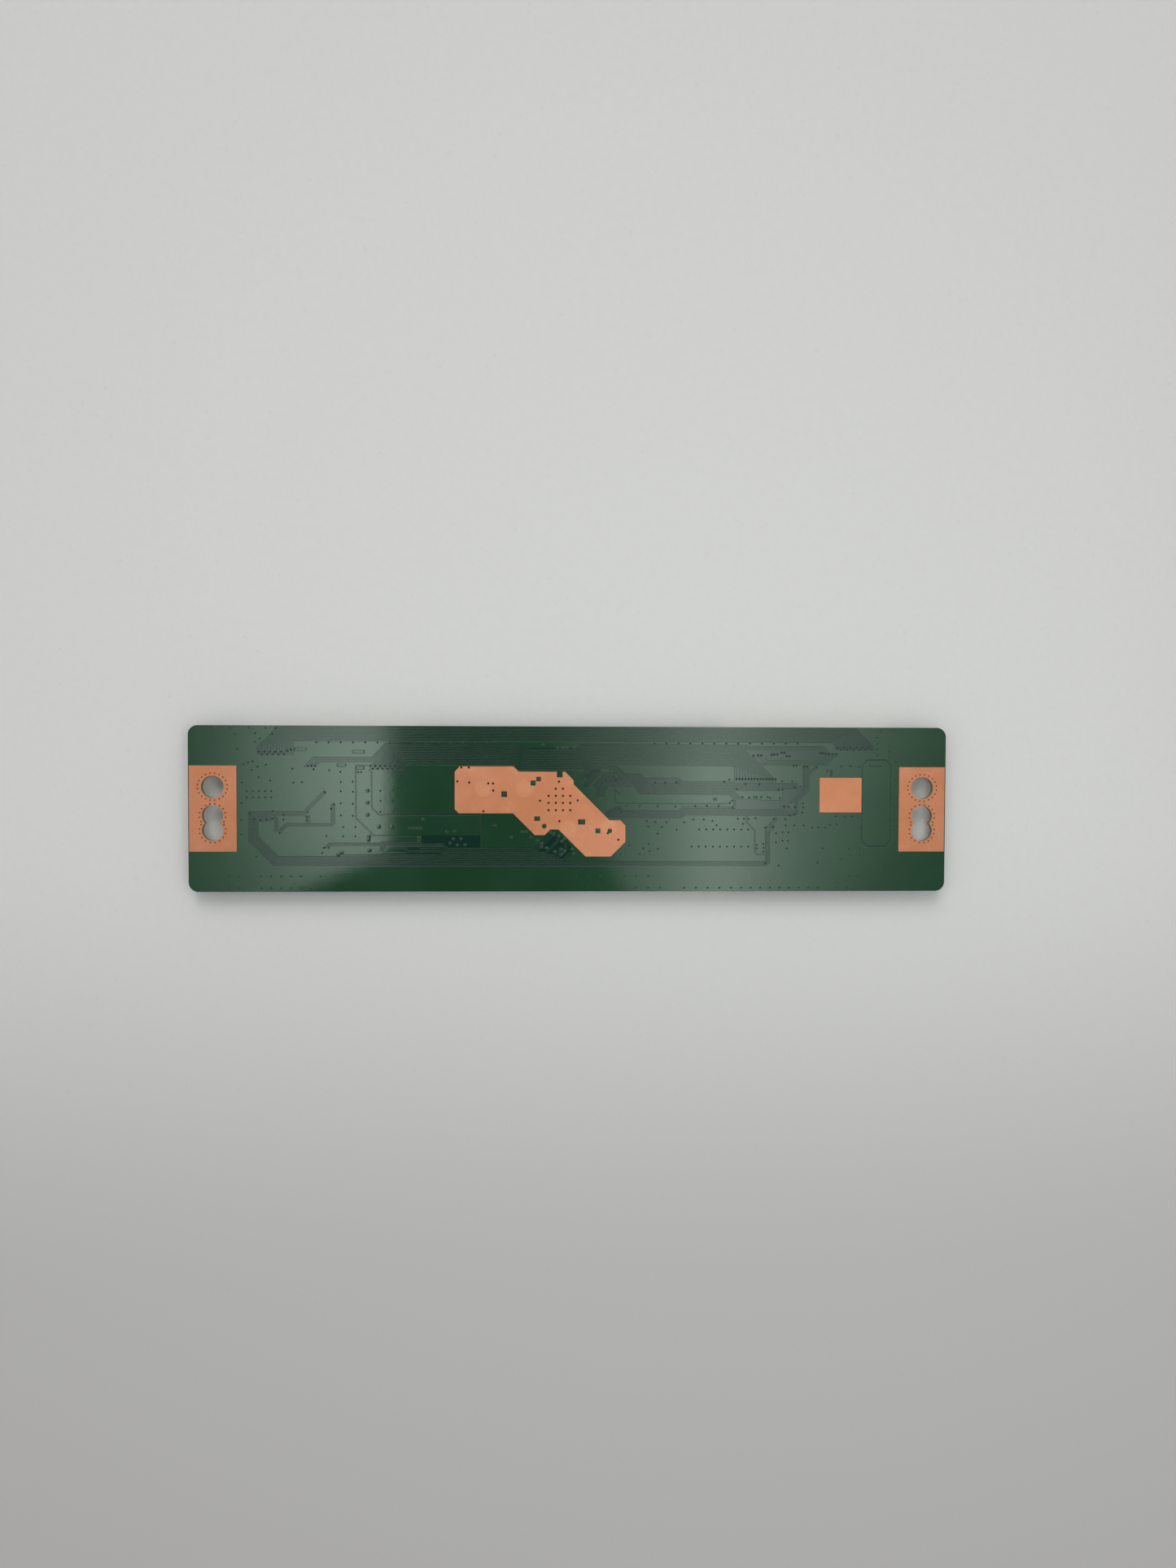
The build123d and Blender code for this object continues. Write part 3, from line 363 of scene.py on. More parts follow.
@dataclass(frozen=True)
class SolderMask(Finish):
    """Glossy green mask: bright over copper, dark and bluish over bare laminate.

    copper_level is the height of its face over copper, in millimetres, and is 0 where copper
    backs all of it. edge_radius is 0 for thin shells, whose underside would spoil the edges.
    """

    copper_level: float = 0.0
    over_copper: Colour = (0.0108, 0.039, 0.0185)
    over_copper_light: Colour = (0.0135, 0.047, 0.0235)
    over_laminate: Colour = (0.005, 0.023, 0.0165)
    # Painted shade: dark colour that stands for the inside of a hole
    hole: Colour = (0.006, 0.021, 0.012)
    hole_roughness: float = 0.85
    roughness: float = 0.055
    track_roughness: float = 0.145
    bare_roughness: float = 0.025
    edge_radius: float = 0.09
    step_low: float = 0.02
    step_high: float = 0.008
    dust: float = 0.35
    bump: float = 0.35
    patch_scale: float = 55.0
    speck_scale: float = 1500.0
    peel_scale: float = 650.0
    streak_scale: Triple = (1400.0, 90.0, 1.0)
    ripple_low: Point = (34.6, -16.4)
    ripple_high: Point = (39.0, -12.2)
    ripple_edge: float = 0.8
    ripple_turn: float = -35.0
    ripple_pitch: float = 3.45575

    def paint(self, graph: Graph, shader: bpy.types.Node) -> None:
        """Colour by what lies under the mask, with soft edges, orange peel, a little dust and
        painted shade in holes.
        """
        copper = graph.rest(graph.attribute("bare"))
        if self.copper_level:
            low, high = self.copper_level - self.step_low, self.copper_level - self.step_high
            copper = graph.times(copper, graph.span(graph.axis(2), low * MM, high * MM))
        masks = patches(graph, self.patch_scale, self.speck_scale)
        green = graph.mix(masks["Broad"], self.over_copper, self.over_copper_light)
        colour = graph.mix(copper, self.over_laminate, green)
        dusty = graph.times(masks["Specks"], self.dust)
        colour = graph.mix(dusty, colour, self.over_copper_light)
        # Painted shade: the mask turns dark where the hole mark stands for a hole or the edge of
        # its clearance
        hole = graph.attribute("hole")
        colour = graph.mix(hole, colour, self.hole)
        peel = graph.noise(self.peel_scale)
        streaks = graph.noise(1.0, place=graph.stretched(self.streak_scale))
        rough = graph.total(
            self.roughness - 0.02, (peel, 0.04), (streaks, 0.03),
            (graph.rest(copper), self.bare_roughness))
        rough = graph.either(rough, graph.times(hole, self.hole_roughness))
        ripples = graph.bands(
            self.ripple_pitch, 2.0, 0.5, graph.stretched((1.0, 1.0, 1.0), self.ripple_turn))
        place = graph.box_mask(self.ripple_low, self.ripple_high, self.ripple_edge)
        relief = graph.total(0.0, (peel, 0.35), (graph.times(ripples, place), 0.5), (streaks, 0.12))
        edges = graph.bevel(self.edge_radius) if self.edge_radius else None
        graph.cover(shader, colour, rough, graph.bump(relief, self.bump, edges))
        shader.inputs["IOR"].default_value = 1.5


@dataclass(frozen=True)
class BareCopper(Finish):
    """Bare copper lands: salmon metal, brushed, stained and a little scratched, with painted
    highlight discs and painted shade in the holes.

    edge_radius is 0 for thin shells, whose underside would spoil the softened edges.
    """

    rosy: Colour = (0.575, 0.222, 0.128)
    orange: Colour = (0.52, 0.190, 0.094)
    pale: Colour = (0.66, 0.30, 0.175)
    tarnish: Colour = (0.36, 0.13, 0.07)
    scratched: Colour = (0.95, 0.72, 0.55)
    # Painted shade: dark colour that stands for the inside of a hole
    hole: Colour = (0.006, 0.008, 0.006)
    metal: float = 0.72
    stain: float = 0.35
    bump: float = 0.25
    edge_radius: float = 0.03
    patch_scale: float = 75.0
    speck_scale: float = 3300.0
    blotch_scale: float = 420.0
    dirt_scale: float = 4200.0
    brush_scale: Triple = (260.0, 4200.0, 1.0)
    brush_turn: float = 4.0
    # Painted highlights: pale discs on the middle land
    pale_discs: tuple[Point, ...] = ((-18.6, 4.3), (-9.9, 4.3), (8.0, -3.7), (-0.7, -4.2))
    disc_radius: float = 1.7
    speck_low: Point = (-24.2, 3.4)
    speck_high: Point = (-21.6, 8.6)
    scratch_low: Point = (-78.5, 6.6)
    scratch_high: Point = (-72.0, 9.0)

    def paint(self, graph: Graph, shader: bpy.types.Node) -> None:
        """Mix rosy and orange copper; add stains, painted highlight discs, specks and scratches;
        paint shade into holes.
        """
        masks = patches(graph, self.patch_scale, self.speck_scale)
        colour = graph.mix(masks["Broad"], self.orange, self.rosy)
        blotches = graph.noise(self.blotch_scale, 3.0, 0.6)
        colour = graph.mix(graph.span(blotches, 0.5, 0.8, 0.0, self.stain), colour, self.pale)
        # Painted highlights: pale discs mixed in at the given places, as strong as the stains
        for centre in self.pale_discs:
            disc = graph.disc_mask(centre, self.disc_radius, 0.5)
            colour = graph.mix(graph.times(disc, self.stain), colour, self.pale)
        brushed = graph.noise(
            1.0, 2.0, 0.6, graph.stretched(self.brush_scale, self.brush_turn))
        colour = graph.mix(graph.span(brushed, 0.55, 0.8, 0.0, 0.25), colour, self.tarnish)
        dirt = graph.times(
            graph.span(graph.noise(self.dirt_scale), 0.56, 0.64),
            graph.box_mask(self.speck_low, self.speck_high, 0.5))
        dirt = graph.either(graph.times(dirt, 0.6), graph.times(masks["Specks"], 0.45))
        colour = graph.mix(dirt, colour, self.tarnish)
        scratches = graph.effect(scratch_group(), {"Amount": 1.0})["Mask"]
        worn = graph.total(0.08, (graph.box_mask(self.scratch_low, self.scratch_high, 0.8), 0.9))
        bright = graph.times(scratches, worn)
        colour = graph.mix(bright, colour, self.scratched)
        # Painted shade: dark, rough and not metal where the hole mark stands for a hole
        hole = graph.attribute("hole")
        graph.feed(shader.inputs["Metallic"], graph.times(graph.rest(hole), self.metal))
        rough = graph.either(graph.total(0.36, (blotches, 0.22), (bright, -0.15)), hole)
        height = graph.total(0.0, (blotches, 0.5), (brushed, 0.6), (bright, -1.0))
        edges = graph.bevel(self.edge_radius) if self.edge_radius else None
        graph.cover(
            shader, graph.mix(hole, colour, self.hole), rough,
            graph.bump(height, self.bump, edges))


@dataclass(frozen=True)
class GlassLaminate(Finish):
    """Cut edge and bare face of glass-epoxy laminate, with its cloth layers showing."""

    resin: Colour = (0.14, 0.16, 0.08)
    glass: Colour = (0.28, 0.29, 0.18)
    layer_pitch: float = 0.19
    thread_pitch: float = 0.45
    thread_height: float = 2500.0

    def paint(self, graph: Graph, shader: bpy.types.Node) -> None:
        """Stripe the edge in layers along Z, broken into threads along the board."""
        layers = graph.bands(self.layer_pitch, 1.5, 3.0, direction="Z")
        along = 1 / (self.thread_pitch * MM)
        threads = graph.noise(1.0, place=graph.stretched((along, along, self.thread_height)))
        share = graph.times(graph.span(layers, 0.2, 0.8), graph.span(threads, 0.3, 0.7))
        graph.cover(
            shader, graph.mix(share, self.resin, self.glass),
            graph.span(threads, 0.2, 0.9, 0.45, 0.75), graph.bump(share, 0.5))


@dataclass(frozen=True)
class Plated(Finish):
    """Plated or soldered metal, with grain, cloudy patches and dull specks."""

    bright: Colour = (0.78, 0.78, 0.76)
    dull: Colour = (0.50, 0.50, 0.48)
    smoothness: float = 0.28
    grain: float = 2600.0
    depth: float = 0.35
    patch_scale: float = 700.0
    speck_scale: float = 5200.0

    def paint(self, graph: Graph, shader: bpy.types.Node) -> None:
        """Cloud the metal between bright and dull, and give it a fine grain."""
        masks = patches(graph, self.patch_scale, self.speck_scale)
        grain = grained(graph, self.grain, self.depth)
        colour = graph.mix(masks["Broad"], self.dull, self.bright)
        colour = graph.mix(graph.times(masks["Specks"], 0.5), colour, self.dull)
        rough = graph.total(self.smoothness - 0.08, (grain["Value"], 0.25))
        graph.cover(shader, colour, rough, grain["Normal"])
        shader.inputs["Metallic"].default_value = 1.0


@dataclass(frozen=True)
class Moulded(Finish):
    """Moulded, pressed or fired body: a plain colour with a finer grain and worn edges."""

    body: Colour = (0.018, 0.018, 0.019)
    fleck: Colour = (0.05, 0.05, 0.05)
    edge: Colour = (0.07, 0.07, 0.07)
    grain: float = 3200.0
    depth: float = 0.5
    smoothness: float = 0.5
    edge_radius: float = 0.12
    patch_scale: float = 400.0
    bump_depth: float = 0.015

    def paint(self, graph: Graph, shader: bpy.types.Node) -> None:
        """Fleck the body, lighten its edges where they rub, and give it a grain."""
        grain = grained(graph, self.grain, self.depth)["Value"]
        masks = patches(graph, self.patch_scale, self.grain)
        colour = graph.mix(masks["Specks"], self.body, self.fleck)
        colour = graph.mix(graph.times(masks["Broad"], 0.25), colour, self.fleck)
        rounded = graph.bevel(self.edge_radius)
        facing = graph.add("NewGeometry").outputs["Normal"]
        bend = graph.add("VectorMath", {0: rounded, 1: facing}, operation="DOT_PRODUCT")
        rubbed = graph.times(graph.span(bend.outputs["Value"], 0.80, 0.97, 1.0, 0.0), grain)
        graph.cover(
            shader, graph.mix(rubbed, colour, self.edge),
            graph.total(self.smoothness - 0.12, (grain, 0.3)),
            graph.bump(grain, self.depth, rounded, self.bump_depth))


@dataclass(frozen=True)
class FilmOnCeramic(Finish):
    """White ceramic chip with a dark film on the face away from the board."""

    film_level: float = 2.1
    film_edge: float = 0.03
    ceramic: Colour = (0.72, 0.71, 0.66)
    ceramic_dark: Colour = (0.60, 0.59, 0.55)
    film: Colour = (0.015, 0.016, 0.018)
    grain: float = 4200.0
    depth: float = 0.25
    unevenness: float = 0.05

    def paint(self, graph: Graph, shader: bpy.types.Node) -> None:
        """Dark below the film's level, white above it, both slightly uneven."""
        grain = grained(graph, self.grain, self.depth)
        ragged = graph.total(graph.axis(2), (grain["Value"], self.unevenness * MM))
        film = graph.span(
            ragged, self.film_level * MM, (self.film_level + self.film_edge) * MM, 1.0, 0.0)
        colour = graph.mix(grain["Value"], self.ceramic, self.ceramic_dark)
        graph.cover(
            shader, graph.mix(film, colour, self.film), graph.total(0.55, (film, -0.25)),
            grain["Normal"])


@dataclass(frozen=True)
class PaleSheet(Finish):
    """Plain pale paper under the board, with painted shade towards the viewer."""

    paper: Colour = (0.607, 0.590, 0.592)
    fibre: Colour = (0.599, 0.582, 0.584)
    # Painted shade: the colour that the paper darkens to towards the viewer
    shaded: Colour = (0.464, 0.448, 0.453)
    speck: Colour = (0.36, 0.36, 0.35)
    shade_start: float = 0.0
    shade_end: float = -105.0
    patch_scale: float = 600.0
    speck_scale: float = 700.0

    def paint(self, graph: Graph, shader: bpy.types.Node) -> None:
        """Faint fibres and specks on matt paper, with painted shade that darkens it towards the
        viewer.
        """
        masks = patches(graph, self.patch_scale, self.speck_scale)
        colour = graph.mix(masks["Broad"], self.paper, self.fibre)
        # Painted shade: darken the paper along Y from shade_start to shade_end
        shade = graph.span(
            graph.axis(1), self.shade_end * MM, self.shade_start * MM, 1.0, 0.0)
        colour = graph.mix(shade, colour, self.shaded)
        colour = graph.mix(graph.times(masks["Specks"], 0.10), colour, self.speck)
        graph.feed(shader.inputs["Base Color"], colour)
        shader.inputs["Roughness"].default_value = 0.95
        shader.inputs["Specular IOR Level"].default_value = 0.1


@dataclass(frozen=True)
class Ink(Finish):
    """White ink lines printed on the component side."""

    ink: Colour = (0.74, 0.74, 0.70)
    thin: Colour = (0.45, 0.52, 0.45)
    grain: float = 3000.0
    depth: float = 0.2

    def paint(self, graph: Graph, shader: bpy.types.Node) -> None:
        """Matt ink, thin in places."""
        grain = grained(graph, self.grain, self.depth)
        share = graph.span(grain["Value"], 0.35, 0.6)
        graph.cover(shader, graph.mix(share, self.thin, self.ink), 0.6, grain["Normal"])


class Slot(Enum):
    """Material slot of the record, with its finish; the mask's two slots depend on the level."""

    laminate = GlassLaminate("laminate")
    bare_copper = BareCopper("bare_copper")
    socket_plastic = Moulded(
        "socket_plastic", (0.60, 0.56, 0.46), (0.52, 0.48, 0.39), (0.68, 0.64, 0.55),
        grain=1800.0, depth=0.2, smoothness=0.42, edge_radius=0.08)
    shell_steel = Plated("shell_steel", (0.66, 0.65, 0.62), (0.52, 0.51, 0.48), 0.26, 1500.0)
    tin = Plated("tin")
    chip_mould = Moulded("chip_mould")
    ferrite = Moulded(
        "ferrite", (0.045, 0.045, 0.048), (0.13, 0.13, 0.13), (0.16, 0.16, 0.16),
        grain=5200.0, depth=0.8, smoothness=0.62)
    capacitor_ceramic = Moulded(
        "capacitor_ceramic", (0.30, 0.20, 0.11), (0.36, 0.25, 0.15), (0.40, 0.30, 0.19),
        grain=4200.0, depth=0.25, smoothness=0.38, edge_radius=0.06)
    resistor_film = FilmOnCeramic("resistor_film")
    fuse_ceramic = Moulded(
        "fuse_ceramic", (0.62, 0.60, 0.52), (0.55, 0.53, 0.46), (0.70, 0.68, 0.61),
        grain=3800.0, depth=0.25, smoothness=0.45, edge_radius=0.06)


@cache
def finish_of(slot: str, copper_level: float = 0.0, shell: bool = False) -> bpy.types.Material:
    """Material of one of the record's slots.

    Args:
        slot: the slot's name.
        copper_level: for the mask, the height of its face over copper in millimetres, or 0.
        shell: whether it goes on thin shells, which take no softened edges.

    Returns:
        The material, made once for each slot, level and kind of piece.
    """
    if slot == "bare_copper" and shell:
        return BareCopper("bare_copper_shell", edge_radius=0.0).material()
    if slot in Slot.__members__:
        return Slot[slot].value.material()
    name = slot + ("" if copper_level else "_front") + ("_shell" if shell else "")
    rough = SolderMask.track_roughness if slot == "coated_tracks" else SolderMask.roughness
    radius = 0.0 if shell else SolderMask.edge_radius
    return SolderMask(name, copper_level, roughness=rough, edge_radius=radius).material()


def placed(name: str, data: bpy.types.ID) -> bpy.types.Object:
    """Put a new mesh, lamp or camera into the scene."""
    made = bpy.data.objects.new(name, data)
    bpy.context.scene.collection.objects.link(made)
    return made


def quads_of(copies: int, rings: int, around: int, looped: bool = False) -> Array:
    """Faces that join each ring of points to the next, for many copies of a run of rings.

    Args:
        copies: how many runs there are.
        rings: rings in each run.
        around: points in each ring.
        looped: whether the last ring joins the first.

    Returns:
        Point numbers, four to a face.
    """
    copy, ring, point = np.meshgrid(
        np.arange(copies), np.arange(rings if looped else rings - 1), np.arange(around),
        indexing="ij")
    near = (copy * rings + ring) * around
    far = (copy * rings + (ring + 1) % rings) * around
    after = (point + 1) % around
    return np.stack([near + point, near + after, far + after, far + point], -1).reshape(-1, 4)


def closed_piece(name: str, points: Array, faces: Sequence[Sequence[int]],
                 marks: Mapping[str, Array] | None = None,
                 smooth: bool = True) -> bpy.types.Object:
    """Make an object of closed shells, with its faces turned outwards.

    Args:
        name: the piece's name.
        points: places in metres, with the axis last.
        faces: point numbers of each face.
        marks: numbers to store on the points.
        smooth: whether the faces are shaded smooth.

    Returns:
        The object.
    """
    mesh = bpy.data.meshes.new(name)
    mesh.from_pydata(points.reshape(-1, 3).tolist(), [], faces)
    for key, values in (marks or {}).items():
        stored = mesh.attributes.new(key, "FLOAT", "POINT")
        stored.data.foreach_set("value", np.ascontiguousarray(values, np.float32).ravel())
    work = bmesh.new()
    work.from_mesh(mesh)
    bmesh.ops.recalc_face_normals(work, faces=work.faces)
    work.to_mesh(mesh)
    work.free()
    if smooth:
        mesh.shade_smooth()
    else:
        mesh.shade_flat()
    return placed(name, mesh)


def stacked_rings(name: str, rings: Array, marks: Mapping[str, Array] | None = None,
                  smooth: bool = True) -> bpy.types.Object:
    """Closed solids, each a stack of rings joined by quads with a flat cap at both ends.

    Args:
        name: the piece's name.
        rings: points in metres, by copy, ring, place round the ring and axis.
        marks: numbers to store on the points, each by copy, ring and place round the ring.
        smooth: whether the faces are shaded smooth.

    Returns:
        One object that holds all the copies.
    """
    copies, count, around, _ = rings.shape
    start = np.arange(copies)[:, None] * count * around
    first = start + np.arange(around)[::-1]
    last = start + (count - 1) * around + np.arange(around)
    faces = quads_of(copies, count, around).tolist() + first.tolist() + last.tolist()
    return closed_piece(name, rings, faces, marks, smooth)


def seat(piece: bpy.types.Object, slot: str, finish: bpy.types.Material | None = None) -> None:
    """Dress a new piece, fix it to the board and report it.

    Args:
        piece: the finished object.
        slot: the record's slot that its finish belongs to.
        finish: its material, if it isn't the slot's own.
    """
    piece.data.materials.append(finish or finish_of(slot))
    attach(piece, "root")
    log.info("%s: %d faces", piece.name, len(piece.data.polygons))


@dataclass(frozen=True)
class Solids:
    """Boxes of the separate solids of a node, and of what of each touches the board."""

    low: Array
    high: Array
    foot_low: Array
    foot_high: Array

    @classmethod
    def of(cls, node: bpy.types.Object, board_face: float) -> "Solids":
        """Find the solids of a node by joining the faces that share a point.

        Args:
            node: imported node, whose faces are loose triangles.
            board_face: height of the face that the solids stand on, in metres.

        Returns:
            The boxes, one row for each solid.
        """
        weld, skin = 0.001 * MM, 0.02 * MM
        mesh = node.data
        points = np.empty(len(mesh.vertices) * 3, np.float32)
        mesh.vertices.foreach_get("co", points)
        keys = np.round(points.reshape(-1, 3) / weld).astype(np.int64)
        places, same = np.unique(keys, axis=0, return_inverse=True)
        corners = np.empty(len(mesh.loops), np.int32)
        mesh.loops.foreach_get("vertex_index", corners)
        triangles = same.reshape(-1)[corners].reshape(-1, 3)
        label = np.arange(len(places))
        while True:
            least = label[triangles].min(axis=1)
            after = label.copy()
            for corner in triangles.T:
                np.minimum.at(after, corner, least)
            after = after[after]
            if np.array_equal(after, label):
                break
            label = after
        metres = places * weld
        _, owner = np.unique(label, return_inverse=True)
        touching = np.abs(metres[:, 2] - board_face) < skin
        count = owner.max() + 1
        return cls(
            *cls.boxes(metres, owner, count),
            *cls.boxes(metres[touching], owner[touching], count))

    @staticmethod
    def boxes(points: Array, owner: Array, count: int) -> tuple[Array, Array]:
        """Lowest and highest corner of the points of each of several owners."""
        low = np.full((count, 3), np.inf)
        high = np.full((count, 3), -np.inf)
        np.minimum.at(low, owner, points)
        np.maximum.at(high, owner, points)
        return low, high


@dataclass(frozen=True)
class Spot:
    """Section of a small round detail, ring by ring from its outer rim to its middle.

    radii and heights are in millimetres. holes says how much of the surface is painted shade of a
    hole or of its clearance's edge, and bares how much is laminate with no copper under the mask.
    """

    radii: tuple[float, ...]
    heights: tuple[float, ...]
    holes: tuple[float, ...]
    bares: tuple[float, ...]
    around: int = 12

    def build(self, name: str, places: Array, face: float, side: Side,
              stretch: float = 0.0) -> bpy.types.Object:
        """Make one piece of many spots.

        Each ring is a circle of its radius, drawn out along X by the stretch where the cosine
        is positive and the other way where it is negative, at its height over the face.

        Args:
            name: the piece's name.
            places: centres in millimetres, two to a row.
            face: height of the face that they lie on, in millimetres.
            side: the face's side of the board.
            stretch: half of the straight length of an oval spot, in millimetres.

        Returns:
            The object.
        """
        angle = (np.arange(self.around) + 0.5) * 2 * math.pi / self.around
        radii = np.array(self.radii)[:, None]
        across = radii * np.cos(angle) + stretch * np.sign(np.cos(angle))
        along = radii * np.sin(angle)
        level = face + side.value * np.array(self.heights)[:, None] + 0 * angle
        shape = np.stack([across, along, level], axis=-1)
        shift = np.concatenate([places, np.zeros((len(places), 1))], axis=1)
        rings = (shape[None] + shift[:, None, None, :]) * MM
        # The hole mark tells the finishes where to paint the dark shade of holes
        marks = {
            key: np.broadcast_to(np.array(values)[None, :, None], rings.shape[:3])
            for key, values in (("hole", self.holes), ("bare", self.bares))}
        return stacked_rings(name, rings, marks)


def row(x: float, y: float, count: int, pitch: float) -> list[Point]:
    """Places in a row along X."""
    return [(x + index * pitch, y) for index in range(count)]


def column(x: float, heights: Sequence[float]) -> list[Point]:
    """Places one above the other."""
    return [(x, y) for y in heights]


def arc(centre: Point, reach: Point, start: float, end: float, count: int) -> list[Point]:
    """Places spread over an arc of an ellipse, from one angle to another in degrees."""
    turns = np.radians(np.linspace(start, end, count))
    return [(centre[0] + reach[0] * math.cos(t), centre[1] + reach[1] * math.sin(t)) for t in turns]


@dataclass(frozen=True)
class PlatedHoles:
    """Plated through holes: plain ones under the mask, and those in lands and clearances."""

    back_face: float = 4.1
    land_face: float = 4.075
    front_face: float = 2.5
    end_x: float = 75.0
    room: float = 0.5
    pills: tuple[tuple[float, float, float], ...] = (
        (-56.75, 12.5, 0.95), (-44.65, 12.0, 0.95), (-48.2, 9.2, 0.6), (-44.3, 8.6, 0.5))
    # The third row of each spot is its share of painted hole shade
    covered: Spot = Spot(
        (0.25, 0.215, 0.165, 0.10), (-0.01, 0.001, 0.006, 0.001), (0.0, 0.1, 0.95, 1.0),
        (0.0, 0.0, 0.0, 0.0))
    cleared: Spot = Spot(
        (0.52, 0.47, 0.38, 0.34, 0.22, 0.16, 0.10),
        (-0.01, 0.003, 0.001, 0.004, 0.004, 0.008, 0.002),
        (0.0, 0.0, 0.4, 0.0, 0.0, 0.6, 1.0), (0.0, 1.0, 1.0, 0.0, 0.0, 0.0, 0.0))
    pill: Spot = Spot(
        (0.46, 0.42, 0.34, 0.30, 0.05), (-0.01, 0.003, 0.001, 0.004, 0.004),
        (0.0, 0.0, 0.4, 0.0, 0.0), (0.0, 1.0, 1.0, 0.0, 0.0))
    rimmed: Spot = Spot(
        (0.38, 0.33, 0.22, 0.14), (-0.01, 0.008, 0.010, 0.003), (0.0, 0.0, 0.3, 1.0),
        (0.0, 0.0, 0.0, 0.0))
    in_land: Spot = Spot(
        (0.27, 0.24, 0.19), (-0.01, 0.004, 0.002), (0.3, 1.0, 1.0), (0.0, 0.0, 0.0))
    round_land: Spot = Spot(
        (0.20, 0.17, 0.13), (-0.01, 0.003, 0.001), (0.0, 0.7, 0.9), (0.0, 0.0, 0.0))

    def left_places(self) -> list[Point]:
        """Plain holes of the left half."""
        places = [
            (-78.8, 16.6), (-75.2, 16.9), (-71.4, 16.95), (-67.4, 16.95), (-63.9, 16.9),
            (-61.9, 16.9), (-70.25, 15.6), (-66.1, 15.8), (-62.55, 15.7), (-65.1, 14.7),
            (-66.1, 13.95), (-69.75, 12.5), (-68.5, 9.3), (-67.6, 9.7), (-66.6, 9.9),
            (-65.6, 8.8), (-63.9, 9.2), (-66.8, 8.1), (-65.45, 6.6), (-63.0, 5.9), (-68.9, 5.5),
            (-69.0, 1.2), (-69.05, -2.35), (-69.1, -5.35), (-66.0, -10.0), (-62.5, -0.5),
            (-67.3, -1.0), (-66.4, -2.2), (-65.0, -2.4), (-63.8, -2.3), (-62.6, -2.1),
            (-60.3, -1.3), (-60.3, -2.3), (-61.1, -5.1), (-58.4, 8.4), (-58.2, 5.5),
            (-56.4, 5.6), (-54.0, 8.3), (-50.75, 8.1), (-48.45, 7.75), (-47.85, -3.8),
            (-47.9, -5.75), (-45.3, -3.8), (-45.35, -5.75), (-51.35, -5.7), (-52.3, -9.3),
            (-44.7, 7.7), (-44.1, 7.7), (-34.8, 3.85), (-51.7, 3.5), (-55.3, -0.7),
            (-49.8, 1.0), (-50.4, 0.0), (-51.9, -8.2), (-50.9, -8.2)]
        places += row(-67.9, 3.7, 5, 1.27) + row(-67.9, 2.4, 5, 1.27)
        places += row(-77.8, -14.2, 5, 2.05) + row(-64.95, -14.2, 5, 2.06)
        places += row(-52.6, -14.2, 2, 4.1) + row(-75.8, -16.7, 4, 2.1)
        places += row(-64.9, -16.7, 6, 2.06) + row(-55.2, 9.0, 3, 0.75)
        places += column(-48.35, (5.65, 3.7, 1.15, -1.35)) + column(-45.85, (5.7, 3.6, 1.05, -1.45))
        places += column(-40.1, (3.8, 1.7, -0.6)) + column(-37.5, (3.9, 1.7, -0.6))
        places += row(-57.9, 12.5, 4, 0.75) + row(-45.6, 12.0, 4, 0.63)
        places += row(-48.9, 9.2, 3, 0.7) + row(-44.8, 8.6, 3, 0.5)
        return places + row(-53.4, 13.95, 15, 2.54)

    def middle_places(self) -> list[Point]:
        """Plain holes between the middle land and the right socket."""
        places = [
            (3.6, 8.8), (0.65, 6.85), (1.55, 6.7), (2.05, 6.0), (2.4, 5.4), (3.2, 4.4),
            (3.75, 3.7), (4.4, 3.75), (5.35, 2.5), (6.4, 5.55), (7.35, 6.05), (9.05, 6.9),
            (9.5, 6.15), (8.25, 8.3), (9.6, 3.8), (10.05, 3.4), (7.35, -0.85), (7.9, -0.35),
            (8.55, -0.1), (9.3, 0.3), (10.1, 0.05), (10.6, -0.6), (11.65, 0.7), (14.55, 0.7),
            (18.3, 0.65), (22.1, 0.6), (26.3, 0.7), (28.8, 0.7), (31.3, 0.7), (17.8, 5.65),
            (19.9, 5.65), (22.3, 5.65), (32.45, 5.9), (33.55, 6.3), (37.05, 5.4), (39.95, 5.3),
            (34.2, 1.85), (33.7, 1.4), (34.35, 0.35), (35.2, 4.3), (16.05, -2.5), (17.85, -2.7),
            (16.35, -3.65), (19.2, -3.75), (18.35, -5.2), (16.45, -7.35), (15.3, -8.3),
            (16.65, -8.9), (18.4, -8.4), (14.55, -9.5), (12.4, -7.7), (10.4, -9.6), (20.2, -2.75),
            (22.4, -4.35), (23.95, -2.75), (25.9, -2.2), (28.15, -2.2), (30.0, -2.5),
            (30.9, -3.4), (35.4, -2.0), (36.75, -2.0), (37.7, -2.05), (39.2, -1.9), (36.55, -3.1)]
        places += row(27.2, -4.3, 8, 1.493) + row(25.6, -7.95, 9, 1.51) + row(1.1, -14.15, 7, 2.55)
        places += row(3.6, -16.7, 2, 2.6) + row(11.3, -16.7, 4, 2.53) + row(24.05, -16.7, 5, 2.51)
        return places + row(17.6, 13.95, 13, 2.54)

